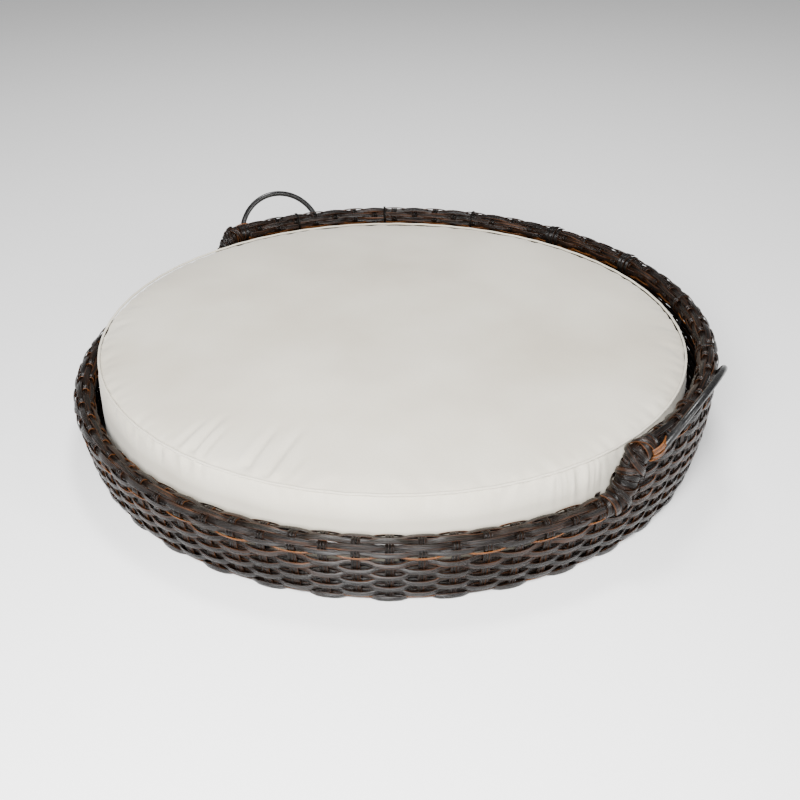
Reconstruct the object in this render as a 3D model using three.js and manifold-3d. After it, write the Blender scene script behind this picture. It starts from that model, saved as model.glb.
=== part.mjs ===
// Round woven pet bed basket with a low front, a high back, two bow handles and a lift-out cushion.
// Millimetres, +Z up, low front towards -Y, handles at +X and -X.
// The origin is on the floor, under the centre of the round base.
// Angles around the basket are in degrees from the middle of the back, positive towards -X.

import * as THREE from "three";
import { mergeVertices } from "three/addons/utils/BufferGeometryUtils.js";
import Module from "manifold-3d";

const wasm = await Module();
wasm.setup();

// ---- Driving dimensions ----

const CLEARANCE = 0.3; // gap between pieces that touch

// Basket shell
const RING_RADIUS = 337.6; // centre line of the base ring
const LOW_FLARE = 11; // the low rim's centre line stands this far outside the base ring's
const HIGH_FLARE = 11.6; // and the high rim's
const LOW_RIM_TOP = 77;
const HIGH_RIM_TOP = 123;
const WALL_THICKNESS = 6.8; // over the strands on both sides of the stakes
const WEAVE_LIFT = 1.5; // the lowest strand stands this far off the floor

// Rim
const RIM_TUBE_RADIUS = 8;
const WRAP_THICKNESS = 3.8; // strands wrapped over the rim tube
const STEP_ANGLE = 91; // middle of each S-bend between the high and the low rim
const BEND_RADIUS = 20; // centre line of the S-bend's two bends
const BEND_ANGLE = 72; // steepest slope of the S-bend
const STEP_WRAP_MARGIN = 6.5; // the S-bend's own winding starts and ends this far beyond it
const TUBE_JOINT_GAP = 20; // from each S-bend's foot to where the front and back tubes are butted together

// Base
const RING_ROD_RADIUS = 4;
const GLIDE_LIFT = 2.5; // the glides hold the base ring this far off the floor
const GLIDE_WIDTH = 13; // across the ring
const GLIDE_INSET = 3; // from the ring's centre line towards the middle
const GLIDE_LENGTH = 26; // along the ring
const GLIDE_ANGLES = [45, 135, -135, -45];
const FLOOR_BAR_SHARE = 0.5; // of the ring's radius, from one floor bar to the next
const FLOOR_THICKNESS = 4;

// Upright posts
const POST_RADIUS = 2.5;
const BACK_POST_PAIRS = 4; // between the two posts at the S-bends
const FRONT_POST_PAIRS = 4;
const STEP_POST_INSET = 4.5; // the post at each S-bend stands this far inside its winding
const STEP_POST_GAP = 14.2; // degrees from that post to the next one along the back

// Handles
const HANDLE_ROD_RADIUS = 3.5;
const HANDLE_SPANS = { left: 110, right: 168 }; // straight from foot to foot; each bow is bent by hand
const HANDLE_STEP_GAP = 6; // from the front foot to the S-bend's winding
const HANDLE_RISE = 41; // of the bow, measured along its lean
const HANDLE_LEAN = 26; // outwards from vertical

// Cushion
const CUSHION_GAP = 6.6; // its edge stands this far inside the base ring's centre line
const CUSHION_SEAM_HEIGHT = 107; // top of the boxing, above the floor
const CUSHION_CROWN = 12; // rise of the top panel above its seam
const COVER_THICKNESS = 2.5; // fabric with its wadding

// Zip, in the back of the boxing
const ZIP_DROP = 27; // of its chain, below the seam
const ZIP_SPAN = 48; // either side of the middle of the back
const ZIP_OPENING = 24; // height of the two tapes together
const TAPE_THICKNESS = 1;
const CHAIN_HEIGHT = 5;
const CHAIN_DEPTH = 2;
const SLIDER_LENGTH = 12;
const SLIDER_HEIGHT = 9;
const SLIDER_DEPTH = 2.6;
const SLIDER_NOSE_SHARES = [0.7, 0.5]; // of its half height and half length, where its nose is cut away
const SLIDER_TAIL_SHARE = 0.6; // of its half height
const BRIDGE_LENGTH = 3; // the slider's raised bridge, which the pull hangs on
const BRIDGE_SHARE = 0.6; // of the pull's height, as is the pull's own narrow end
const PULL_GAP = 0.6; // between the slider and its pull
const PULL_LENGTH = 20;
const PULL_HEIGHT = 6;
const PULL_THICKNESS = 1.6;

// How finely curves are divided
const COARSE_STEP = 30;
const FINE_STEP = 7;
const ROUND_SIDES = 8;
const RING_SEGMENTS = 60;
const CROWN_RINGS = 3;
const HANDLE_STEPS = 20;
const CHORD_ALLOWANCE = 0.4; // most that a chord of COARSE_STEP cuts inside the basket's curve

// ---- Worked-out dimensions ----

const radians = THREE.MathUtils.degToRad;
const degrees = THREE.MathUtils.radToDeg;

const RING_HEIGHT = GLIDE_LIFT + RING_ROD_RADIUS;
const RING_TOP = RING_HEIGHT + RING_ROD_RADIUS;
const ROLL_RADIUS = RIM_TUBE_RADIUS + WRAP_THICKNESS;
const LOW_CENTRE = LOW_RIM_TOP - ROLL_RADIUS;
const HIGH_CENTRE = HIGH_RIM_TOP - ROLL_RADIUS;
const FLOOR_BOTTOM = RING_TOP + CLEARANCE;
const FLOOR_TOP = FLOOR_BOTTOM + FLOOR_THICKNESS;
const WALL_INSIDE = RING_ROD_RADIUS + CLEARANCE + CHORD_ALLOWANCE; // from the posts' centre lines outwards
const WALL_OUTSIDE = WALL_INSIDE + WALL_THICKNESS;
const HOLE_GAP = 2 * CLEARANCE; // round a rod in the hole that is made for it
const ROLL_HOLE_RADIUS = (RIM_TUBE_RADIUS + CLEARANCE + CHORD_ALLOWANCE) / Math.cos(Math.PI / ROUND_SIDES);

// Radius of the frame at a height: one smooth bow through the base ring and both rims. The posts stand on
// it, and the woven wall lies round their outsides.
function frameRadius(z) {
  const lowSlope = LOW_FLARE / (LOW_CENTRE - RING_HEIGHT);
  const highSlope = (HIGH_FLARE - LOW_FLARE) / (HIGH_CENTRE - LOW_CENTRE);
  const bow = (highSlope - lowSlope) / (HIGH_CENTRE - RING_HEIGHT);
  return RING_RADIUS + Math.max(0, z - RING_HEIGHT) * (lowSlope + bow * (z - LOW_CENTRE));
}

// The S-bend, drawn flat: two arcs of BEND_RADIUS with a straight between them.
const STEP_RISE = HIGH_CENTRE - LOW_CENTRE;
const STEP_SLOPE = Math.min(radians(BEND_ANGLE), Math.acos(Math.max(0, 1 - STEP_RISE / (2 * BEND_RADIUS))));
const ARC_RUN = BEND_RADIUS * Math.sin(STEP_SLOPE);
const ARC_DROP = BEND_RADIUS * (1 - Math.cos(STEP_SLOPE));
const STEP_RUN = 2 * ARC_RUN + (STEP_RISE - 2 * ARC_DROP) / Math.tan(STEP_SLOPE);
const STEP_RADIUS = frameRadius((LOW_CENTRE + HIGH_CENTRE) / 2);

const alongRim = (distance) => degrees(distance / STEP_RADIUS);
const STEP_WRAP_START = STEP_ANGLE - alongRim(STEP_RUN / 2 + STEP_WRAP_MARGIN);
const STEP_WRAP_END = STEP_ANGLE + alongRim(STEP_RUN / 2 + STEP_WRAP_MARGIN);
const STEP_POST_ANGLE = STEP_WRAP_START + alongRim(STEP_POST_INSET);
const TUBE_JOINT_ANGLE = STEP_ANGLE + alongRim(STEP_RUN / 2 + TUBE_JOINT_GAP);

// Distance along the rim, drawn flat, from the middle of the nearer S-bend; positive towards the front.
function stepDistance(angle) {
  return radians(Math.abs(angle) - STEP_ANGLE) * STEP_RADIUS;
}

function heightAtDistance(distance) {
  const fromTop = distance + STEP_RUN / 2;
  const fromFoot = STEP_RUN / 2 - distance;
  if (fromTop <= 0) return HIGH_CENTRE;
  if (fromFoot <= 0) return LOW_CENTRE;
  if (fromTop < ARC_RUN) {
    return HIGH_CENTRE - BEND_RADIUS + Math.sqrt(BEND_RADIUS ** 2 - fromTop ** 2);
  }
  if (fromFoot < ARC_RUN) {
    return LOW_CENTRE + BEND_RADIUS - Math.sqrt(BEND_RADIUS ** 2 - fromFoot ** 2);
  }
  return HIGH_CENTRE - ARC_DROP - (fromTop - ARC_RUN) * Math.tan(STEP_SLOPE);
}

function rimHeight(angle) {
  return heightAtDistance(stepDistance(angle));
}

// Highest that a piece may reach at an angle, this far outside the tube's centre line, and stay below a
// round of this radius that follows the rim.
function topUnder(radius, angle, offset = 0) {
  const reach = Math.sqrt(Math.max(0, radius ** 2 - offset ** 2));
  const samples = 24;
  let top = Infinity;
  for (let i = -samples; i <= samples; i++) {
    const step = (reach * i) / samples;
    const drop = reach * Math.sqrt(1 - (i / samples) ** 2);
    const below = heightAtDistance(stepDistance(angle) + step) - drop;
    top = Math.min(top, below);
  }
  return top;
}

function around(radius, angle, z) {
  return new THREE.Vector3(-radius * Math.sin(radians(angle)), radius * Math.cos(radians(angle)), z);
}

// ---- Shape helpers ----

// Angles from one to another: long steps on the level rim, short ones through the S-bends.
function stations(from, to) {
  const angles = [from];
  while (angles.at(-1) < to) {
    const angle = angles.at(-1);
    const probe = 1;
    const rise = rimHeight(angle + alongRim(probe)) - rimHeight(angle);
    const bendAhead = Math.abs(stepDistance(angle)) < STEP_RUN / 2 + FINE_STEP;
    const step = (bendAhead ? FINE_STEP : COARSE_STEP) / Math.hypot(1, rise / probe);
    const toBend = -stepDistance(angle) - STEP_RUN / 2;
    const toBendBackwards = stepDistance(angle) - STEP_RUN / 2;
    const gap = angle < 0 ? toBendBackwards : toBend;
    const stride = gap > FINE_STEP && gap < step ? gap : step;
    angles.push(angle + alongRim(stride));
  }
  angles[angles.length - 1] = to;
  return angles;
}

// A curve round the basket through a list of angles. A section swept along it keeps its x axis
// pointing down the wall and its y axis pointing to the basket's middle.
class AroundCurve extends THREE.Curve {
  constructor(angles, heightOf, radiusOf) {
    super();
    this.angles = angles;
    this.heightOf = heightOf;
    this.radiusOf = radiusOf;
  }

  angleAt(t) {
    const place = t * (this.angles.length - 1);
    const index = Math.min(Math.floor(place), this.angles.length - 2);
    return THREE.MathUtils.lerp(this.angles[index], this.angles[index + 1], place - index);
  }

  getPoint(t) {
    const angle = this.angleAt(t);
    const z = this.heightOf(angle);
    return around(this.radiusOf(z), angle, z);
  }

  getUtoTmapping(u) {
    return u;
  }

  computeFrenetFrames(segments) {
    const tangents = [];
    const normals = [];
    const binormals = [];
    const probe = 0.02;
    for (let i = 0; i <= segments; i++) {
      const angle = this.angleAt(i / segments);
      const [before, after] = [angle - probe, angle + probe].map((a) => {
        const z = this.heightOf(a);
        return around(this.radiusOf(z), a, z);
      });
      const tangent = after.sub(before).normalize();
      const z = this.heightOf(angle);
      const wallSlope = this.radiusOf(z + 0.5) - this.radiusOf(z - 0.5);
      const inward = around(-1, angle, wallSlope);
      const binormal = inward.addScaledVector(tangent, -inward.dot(tangent)).normalize();
      tangents.push(tangent);
      binormals.push(binormal);
      normals.push(new THREE.Vector3().crossVectors(binormal, tangent));
    }
    return { tangents, normals, binormals };
  }
}

function rimCurve(from, to) {
  return new AroundCurve(stations(from, to), rimHeight, frameRadius);
}

function levelCurve(from, to, radius, z) {
  return new AroundCurve(stations(from, to), () => z, () => radius);
}

function circle(radius, sides = ROUND_SIDES) {
  const corners = [];
  for (let i = 0; i < sides; i++) {
    const turn = (2 * Math.PI * (i + 0.5)) / sides;
    corners.push(new THREE.Vector2(radius * Math.cos(turn), radius * Math.sin(turn)));
  }
  return new THREE.Shape(corners);
}

function rectangle(width, height) {
  const [x, y] = [width / 2, height / 2];
  return new THREE.Shape([
    new THREE.Vector2(-x, -y),
    new THREE.Vector2(x, -y),
    new THREE.Vector2(x, y),
    new THREE.Vector2(-x, y),
  ]);
}

function sweep(section, curve, steps = curve.angles.length - 1) {
  return new THREE.ExtrudeGeometry(section, { extrudePath: curve, steps, bevelEnabled: false });
}

// A closed ring whose section may differ from one angle to the next.
function ringOfSections(sections) {
  const size = sections[0].length;
  const index = [];
  for (let i = 0; i < sections.length; i++) {
    const here = i * size;
    const next = ((i + 1) % sections.length) * size;
    for (let j = 0; j < size; j++) {
      const k = (j + 1) % size;
      index.push(here + j, here + k, next + k, here + j, next + k, next + j);
    }
  }
  const geometry = new THREE.BufferGeometry().setFromPoints(sections.flat());
  geometry.setIndex(index);
  return geometry;
}

function toSolid(geometry) {
  const bare = new THREE.BufferGeometry();
  bare.setAttribute("position", geometry.getAttribute("position"));
  bare.setIndex(geometry.getIndex());
  const merged = mergeVertices(bare, 1e-3);
  return new wasm.Manifold(
    new wasm.Mesh({
      numProp: 3,
      vertProperties: merged.attributes.position.array,
      triVerts: new Uint32Array(merged.index.array),
    }),
  );
}

function toGeometry(solid) {
  const mesh = solid.getMesh();
  const geometry = new THREE.BufferGeometry();
  geometry.setAttribute("position", new THREE.BufferAttribute(mesh.vertProperties, 3));
  geometry.setIndex(new THREE.BufferAttribute(mesh.triVerts, 1));
  return geometry;
}

function join(first, second) {
  return toGeometry(toSolid(first).add(toSolid(second)));
}

function cut(geometry, cutters) {
  const left = cutters.reduce((solid, cutter) => solid.subtract(toSolid(cutter)), toSolid(geometry));
  return toGeometry(left);
}

// ---- Materials ----

const steel = () => new THREE.MeshStandardMaterial({ color: 0x0e0d0d, roughness: 0.35, metalness: 0.4 });
const wicker = () => new THREE.MeshStandardMaterial({ color: 0x2b1c14, roughness: 0.4, metalness: 0 });
const plastic = () => new THREE.MeshStandardMaterial({ color: 0x151313, roughness: 0.6, metalness: 0 });
const cloth = () => new THREE.MeshStandardMaterial({ color: 0xcfcbc0, roughness: 0.95, metalness: 0 });
const foam = () => new THREE.MeshStandardMaterial({ color: 0xe9e3cf, roughness: 1, metalness: 0 });
const tape = () => new THREE.MeshStandardMaterial({ color: 0xbfb9ab, roughness: 0.9, metalness: 0 });
const nickel = () => new THREE.MeshStandardMaterial({ color: 0xb9b7b0, roughness: 0.3, metalness: 1 });

const basket = new THREE.Group();

function add(name, geometry, material, parent = basket) {
  const mesh = new THREE.Mesh(geometry, material);
  mesh.name = name;
  parent.add(mesh);
  return mesh;
}

// ---- Base: ring, bars, woven floor and glides ----

function baseRing() {
  const ring = new THREE.TorusGeometry(RING_RADIUS, RING_ROD_RADIUS, ROUND_SIDES, RING_SEGMENTS);
  add("base_ring", ring, steel()).position.z = RING_HEIGHT;
}

function floorBars() {
  const names = ["left", "middle", "right"];
  names.forEach((side, i) => {
    const x = (i - 1) * RING_RADIUS * FLOOR_BAR_SHARE;
    const inside = (RING_RADIUS - RING_ROD_RADIUS - CLEARANCE) * Math.cos(Math.PI / RING_SEGMENTS);
    const half = Math.sqrt(inside ** 2 - (Math.abs(x) + RING_ROD_RADIUS) ** 2);
    const bar = new THREE.CylinderGeometry(RING_ROD_RADIUS, RING_ROD_RADIUS, 2 * half, ROUND_SIDES);
    add("floor_bar_" + side, bar, steel()).position.set(x, 0, RING_HEIGHT);
  });
}

function wovenFloor() {
  const radius = frameRadius(FLOOR_BOTTOM) - POST_RADIUS - CLEARANCE - CHORD_ALLOWANCE;
  const floor = new THREE.CylinderGeometry(radius, radius, FLOOR_THICKNESS, RING_SEGMENTS);
  const mesh = add("floor_weave", floor, wicker());
  mesh.rotation.x = Math.PI / 2;
  mesh.position.z = (FLOOR_BOTTOM + FLOOR_TOP) / 2;
}

// A plastic shoe under the ring, with a groove that the ring's rod lies in.
function glides() {
  const groove = new THREE.CylinderGeometry(
    RING_ROD_RADIUS + HOLE_GAP,
    RING_ROD_RADIUS + HOLE_GAP,
    2 * GLIDE_LENGTH,
    2 * ROUND_SIDES,
  );
  groove.rotateZ(Math.PI / 2);
  groove.translate(0, GLIDE_INSET, RING_HEIGHT);
  GLIDE_ANGLES.forEach((angle, i) => {
    const block = new THREE.BoxGeometry(GLIDE_LENGTH, GLIDE_WIDTH, RING_HEIGHT);
    block.translate(0, 0, RING_HEIGHT / 2);
    const glide = add("glide_" + (i + 1), cut(block, [groove]), plastic());
    glide.position.copy(around(RING_RADIUS - GLIDE_INSET, angle, 0));
    glide.rotation.z = radians(angle);
  });
}

// ---- Upright posts and the woven wall round them ----

// Posts pair up from the middle of the back to the S-bends, then share the front evenly.
function postAngles() {
  const backPitch = (STEP_POST_ANGLE - STEP_POST_GAP) / (BACK_POST_PAIRS - 0.5);
  const back = Array.from({ length: BACK_POST_PAIRS }, (_, i) => backPitch * (i + 0.5));
  const frontPitch = (180 - STEP_POST_ANGLE) / (FRONT_POST_PAIRS + 0.5);
  const front = Array.from({ length: FRONT_POST_PAIRS }, (_, i) => STEP_POST_ANGLE + frontPitch * (i + 1));
  const left = [...back, STEP_POST_ANGLE, ...front];
  return [...left.map((a) => -a).reverse(), ...left];
}

const POST_ANGLES = postAngles();

// A straight rod on a post's line, longer than the post by a margin at both ends.
function postRod(angle, radius, margin = 0) {
  const [foot, head] = [RING_TOP + CLEARANCE, topUnder(RIM_TUBE_RADIUS + CLEARANCE, angle)].map((z) =>
    around(frameRadius(z), angle, z),
  );
  const extra = head.clone().sub(foot).setLength(margin);
  return sweep(circle(radius), new THREE.LineCurve3(foot.sub(extra), head.add(extra)), 1);
}

function posts() {
  POST_ANGLES.forEach((angle, i) => {
    add("post_" + String(i + 1).padStart(2, "0"), postRod(angle, POST_RADIUS), steel());
  });
}

// The wall hangs round the outside of the base ring and the posts. Its top follows the underside of the roll.
function sideWeave() {
  const angles = stations(-180, 180).slice(0, -1);
  const topOutside = Math.min(WALL_OUTSIDE, ROLL_RADIUS - CLEARANCE);
  const topMiddle = (WALL_INSIDE + topOutside) / 2;
  const sections = angles.map((angle) => {
    const at = (z, offset) => around(frameRadius(z) + offset, angle, z);
    const rimRadius = frameRadius(rimHeight(angle));
    const under = (offset) => around(rimRadius + offset, angle, topUnder(ROLL_RADIUS + HOLE_GAP, angle, offset));
    const middle = (WEAVE_LIFT + topUnder(ROLL_RADIUS, angle)) / 2;
    const inside = [at(WEAVE_LIFT, WALL_INSIDE), at(middle, WALL_INSIDE), under(WALL_INSIDE)];
    const outside = [under(topOutside), at(middle, WALL_OUTSIDE), at(WEAVE_LIFT, WALL_OUTSIDE)];
    return [...inside, under(topMiddle), ...outside];
  });
  add("side_weave", ringOfSections(sections), wicker());
}

// ---- Rim: two bent tubes and the strands wrapped over them ----

function rimTubes() {
  const joint = alongRim(CLEARANCE / 2);
  const back = rimCurve(-TUBE_JOINT_ANGLE + joint, TUBE_JOINT_ANGLE - joint);
  const front = rimCurve(TUBE_JOINT_ANGLE + joint, 360 - TUBE_JOINT_ANGLE - joint);
  add("rim_tube_back", sweep(circle(RIM_TUBE_RADIUS), back), steel());
  add("rim_tube_front", sweep(circle(RIM_TUBE_RADIUS), front), steel());
}

// The wrapped strands close round the tube. Posts come up through them, and the handles' feet go in.
function rimWraps() {
  const section = circle(ROLL_RADIUS);
  section.holes.push(circle(ROLL_HOLE_RADIUS));
  const gap = alongRim(CLEARANCE / 2);
  const margin = WRAP_THICKNESS + CLEARANCE;
  const rods = [
    ...POST_ANGLES.map((angle) => postRod(angle, POST_RADIUS + HOLE_GAP, margin)),
    ...Object.keys(HANDLE_SPANS).map((side) => handleRod(side, HANDLE_ROD_RADIUS + HOLE_GAP)),
  ];
  const wrap = (from, to) => cut(sweep(section, rimCurve(from + gap, to - gap)), rods);
  add("rim_wrap_back", wrap(-STEP_WRAP_START, STEP_WRAP_START), wicker());
  add("rim_wrap_front", wrap(STEP_WRAP_END, 360 - STEP_WRAP_END), wicker());
  add("step_wrap_left", wrap(STEP_WRAP_START, STEP_WRAP_END), wicker());
  add("step_wrap_right", wrap(-STEP_WRAP_END, -STEP_WRAP_START), wicker());
}

// ---- Handles: a rod bent to one arc, welded by both ends to the side of the rim tube ----

class BowLine extends THREE.Curve {
  constructor(foot, otherFoot, rise, lean, outward) {
    super();
    this.middle = foot.clone().lerp(otherFoot, 0.5);
    this.along = otherFoot.clone().sub(foot).normalize();
    this.up = new THREE.Vector3(0, 0, Math.cos(lean)).addScaledVector(outward, Math.sin(lean));
    const half = foot.distanceTo(otherFoot) / 2;
    this.radius = (half ** 2 + rise ** 2) / (2 * rise);
    this.depth = this.radius - rise;
    this.sweepAngle = Math.atan2(half, this.depth);
  }

  getPoint(t) {
    const turn = THREE.MathUtils.lerp(-this.sweepAngle, this.sweepAngle, t);
    return this.middle
      .clone()
      .addScaledVector(this.along, this.radius * Math.sin(turn))
      .addScaledVector(this.up, this.radius * Math.cos(turn) - this.depth);
  }
}

function handleRod(side, radius) {
  const sign = side === "left" ? 1 : -1;
  const reach = RIM_TUBE_RADIUS + HANDLE_ROD_RADIUS + CLEARANCE;
  const footRadius = frameRadius(HIGH_CENTRE) + reach;
  const spread = degrees(Math.asin(HANDLE_SPANS[side] / 2 / footRadius));
  const middle = STEP_WRAP_START - alongRim(HANDLE_STEP_GAP) - spread;
  const foot = (turn) => around(footRadius, sign * (middle + turn), HIGH_CENTRE);
  const outward = around(1, sign * middle, 0);
  const line = new BowLine(foot(-spread), foot(spread), HANDLE_RISE, radians(HANDLE_LEAN), outward);
  return sweep(circle(radius), line, HANDLE_STEPS);
}

function handles() {
  Object.keys(HANDLE_SPANS).forEach((side) => add("handle_" + side, handleRod(side, HANDLE_ROD_RADIUS), steel()));
}

// ---- Cushion ----

const CUSHION_RADIUS = RING_RADIUS - CUSHION_GAP;
const CUSHION_BOTTOM = FLOOR_TOP + CLEARANCE;
const ZIP_HEIGHT = CUSHION_SEAM_HEIGHT - ZIP_DROP;
const BOXING_BOTTOM = CUSHION_BOTTOM + COVER_THICKNESS + CLEARANCE;
const TOP_PANEL_BASE = CUSHION_SEAM_HEIGHT + CLEARANCE;

// Height of the crowned top above its edge.
function crown(radius) {
  return CUSHION_CROWN * (1 - (radius / CUSHION_RADIUS) ** 4);
}

function crownProfile(edge, base) {
  return Array.from({ length: CROWN_RINGS + 1 }, (_, i) => {
    const radius = edge * Math.sqrt(1 - i / CROWN_RINGS);
    return new THREE.Vector2(radius, base + crown(radius));
  });
}

function turned(points, segments = RING_SEGMENTS) {
  return new THREE.LatheGeometry(points, segments).rotateX(Math.PI / 2);
}

function cushionCover(cushion) {
  const inner = CUSHION_RADIUS - COVER_THICKNESS;
  const top = [
    ...crownProfile(CUSHION_RADIUS, TOP_PANEL_BASE).reverse(),
    ...crownProfile(CUSHION_RADIUS, TOP_PANEL_BASE + COVER_THICKNESS),
  ];
  add("cushion_top_panel", turned(top), cloth(), cushion);
  const bottom = [
    new THREE.Vector2(0, CUSHION_BOTTOM),
    new THREE.Vector2(CUSHION_RADIUS, CUSHION_BOTTOM),
    new THREE.Vector2(CUSHION_RADIUS, CUSHION_BOTTOM + COVER_THICKNESS),
    new THREE.Vector2(0, CUSHION_BOTTOM + COVER_THICKNESS),
  ];
  add("cushion_bottom_panel", turned(bottom), cloth(), cushion);
  const boxing = [
    new THREE.Vector2(inner, BOXING_BOTTOM),
    new THREE.Vector2(CUSHION_RADIUS, BOXING_BOTTOM),
    new THREE.Vector2(CUSHION_RADIUS, CUSHION_SEAM_HEIGHT),
    new THREE.Vector2(inner, CUSHION_SEAM_HEIGHT),
    new THREE.Vector2(inner, BOXING_BOTTOM),
  ];
  const window = sweep(
    rectangle(ZIP_OPENING, 4 * COVER_THICKNESS),
    levelCurve(-ZIP_SPAN, ZIP_SPAN, CUSHION_RADIUS - COVER_THICKNESS / 2, ZIP_HEIGHT),
  );
  add("cushion_boxing", cut(turned(boxing), [window]), cloth(), cushion);
}

function cushionCore(cushion) {
  const edge = (CUSHION_RADIUS - COVER_THICKNESS) * Math.cos(Math.PI / RING_SEGMENTS) - CLEARANCE;
  const core = [
    new THREE.Vector2(0, BOXING_BOTTOM),
    new THREE.Vector2(edge, BOXING_BOTTOM),
    ...crownProfile(edge, TOP_PANEL_BASE - crown(edge) - 2 * CLEARANCE),
  ];
  add("cushion_core", turned(core), foam(), cushion);
}

// Two tapes meet at the chain. All three lie in the boxing's window, flush with its outside.
function zipBand(cushion) {
  const margin = degrees(CLEARANCE / CUSHION_RADIUS);
  const end = ZIP_SPAN - margin;
  const outer = CUSHION_RADIUS;
  const tapeHeight = (ZIP_OPENING - CHAIN_HEIGHT) / 2 - 2 * CLEARANCE;
  const offset = CHAIN_HEIGHT / 2 + CLEARANCE + tapeHeight / 2;
  const band = (height, depth, z) =>
    sweep(rectangle(height, depth), levelCurve(-end, end, outer - depth / 2, z));
  add("zip_tape_upper", band(tapeHeight, TAPE_THICKNESS, ZIP_HEIGHT + offset), tape(), cushion);
  add("zip_tape_lower", band(tapeHeight, TAPE_THICKNESS, ZIP_HEIGHT - offset), tape(), cushion);
  add("zip_chain", band(CHAIN_HEIGHT, CHAIN_DEPTH, ZIP_HEIGHT), tape(), cushion);
}

// The slider sits at the left end of the chain when the zip is shut, and its pull lies along it.
function zipSlider(cushion) {
  const carriage = new THREE.Group();
  const angle = ZIP_SPAN - degrees((SLIDER_LENGTH / 2 + 2 * CLEARANCE) / CUSHION_RADIUS);
  const face = CUSHION_RADIUS + CLEARANCE;
  carriage.position.copy(around(face, angle, ZIP_HEIGHT));
  carriage.rotation.z = radians(angle);
  cushion.add(carriage);

  const plate = new THREE.Shape();
  const [x, z] = [SLIDER_LENGTH / 2, SLIDER_HEIGHT / 2];
  const [noseZ, noseX] = [z * SLIDER_NOSE_SHARES[0], x * SLIDER_NOSE_SHARES[1]];
  const tail = z * SLIDER_TAIL_SHARE;
  plate.moveTo(-x, -noseZ);
  plate.lineTo(-noseX, -z);
  plate.lineTo(x, -tail);
  plate.lineTo(x, tail);
  plate.lineTo(-noseX, z);
  plate.lineTo(-x, noseZ);
  const slider = new THREE.ExtrudeGeometry(plate, { depth: SLIDER_DEPTH, bevelEnabled: false });
  slider.rotateX(Math.PI / 2);
  slider.translate(0, SLIDER_DEPTH, 0);
  const bridgeDepth = SLIDER_DEPTH + PULL_GAP + PULL_THICKNESS;
  const bridge = new THREE.BoxGeometry(BRIDGE_LENGTH, bridgeDepth, PULL_HEIGHT * BRIDGE_SHARE);
  bridge.translate(-PULL_GAP - BRIDGE_LENGTH / 2, bridgeDepth / 2, 0);
  add("zip_slider", join(slider, bridge), nickel(), carriage);

  const tab = new THREE.Shape();
  const [half, round] = [PULL_HEIGHT / 2, PULL_HEIGHT / 4];
  tab.moveTo(0, -half * BRIDGE_SHARE);
  tab.lineTo(PULL_LENGTH - round, -half);
  tab.quadraticCurveTo(PULL_LENGTH, -half, PULL_LENGTH, 0);
  tab.quadraticCurveTo(PULL_LENGTH, half, PULL_LENGTH - round, half);
  tab.lineTo(0, half * BRIDGE_SHARE);
  const pull = new THREE.ExtrudeGeometry(tab, { depth: PULL_THICKNESS, bevelEnabled: false, curveSegments: 4 });
  pull.rotateX(Math.PI / 2);
  pull.translate(0, PULL_THICKNESS, 0);
  add("zip_pull", pull, nickel(), carriage).position.y = SLIDER_DEPTH + PULL_GAP;
}

function cushionParts() {
  const cushion = new THREE.Group();
  basket.add(cushion);
  cushionCover(cushion);
  cushionCore(cushion);
  zipBand(cushion);
  zipSlider(cushion);
}

baseRing();
floorBars();
wovenFloor();
glides();
posts();
sideWeave();
rimTubes();
rimWraps();
handles();
cushionParts();

export default basket;
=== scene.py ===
"""Looks of a round woven pet bed: a steel frame under flat dark strand, with a thick boxed cushion.

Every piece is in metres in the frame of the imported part: +Z up, low front towards -Y. Angles round the
basket are in degrees from the middle of the back, positive towards -X.
"""

import logging
import math
from dataclasses import dataclass, field
from enum import Enum
from typing import Any, Iterable, Sequence

import bmesh
import bpy
import numpy as np
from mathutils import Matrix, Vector


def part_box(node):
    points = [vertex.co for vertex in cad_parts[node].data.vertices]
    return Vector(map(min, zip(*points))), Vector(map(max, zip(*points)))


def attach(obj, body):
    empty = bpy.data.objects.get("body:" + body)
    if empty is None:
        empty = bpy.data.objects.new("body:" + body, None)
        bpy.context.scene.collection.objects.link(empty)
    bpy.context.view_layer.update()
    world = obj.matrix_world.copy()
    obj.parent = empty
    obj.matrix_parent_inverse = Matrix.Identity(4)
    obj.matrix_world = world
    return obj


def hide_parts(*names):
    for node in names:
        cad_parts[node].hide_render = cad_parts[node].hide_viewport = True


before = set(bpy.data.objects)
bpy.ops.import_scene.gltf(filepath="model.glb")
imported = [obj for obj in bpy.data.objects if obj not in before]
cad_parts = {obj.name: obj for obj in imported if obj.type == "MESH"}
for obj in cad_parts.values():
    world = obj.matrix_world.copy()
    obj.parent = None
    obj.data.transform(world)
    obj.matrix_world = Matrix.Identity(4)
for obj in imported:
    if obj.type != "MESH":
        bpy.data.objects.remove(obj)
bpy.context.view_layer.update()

logging.basicConfig(level=logging.INFO, format="%(message)s")
LOG = logging.getLogger("pet_bed")

Array = np.ndarray


class Body(Enum):
    """The moving bodies that the pieces made here ride on."""

    BASKET = "basket"
    CUSHION = "cushion"


class Slot(Enum):
    """Material slot names, one passed with each piece made here."""

    WICKER = "wicker"
    STEEL = "frame_steel"
    CLOTH = "cushion_fabric"


# ---- Node and colour helpers ----


def linear(code: str) -> tuple[float, float, float, float]:
    """Turns an sRGB hex colour to linear light.

    Args:
        code: Six hex digits after a hash.

    Returns:
        Red, green, blue and an alpha of one.
    """
    values = [int(code[i : i + 2], 16) / 255 for i in (1, 3, 5)]
    curve = [v / 12.92 if v <= 0.04045 else ((v + 0.055) / 1.055) ** 2.4 for v in values]
    return (*curve, 1.0)


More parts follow.
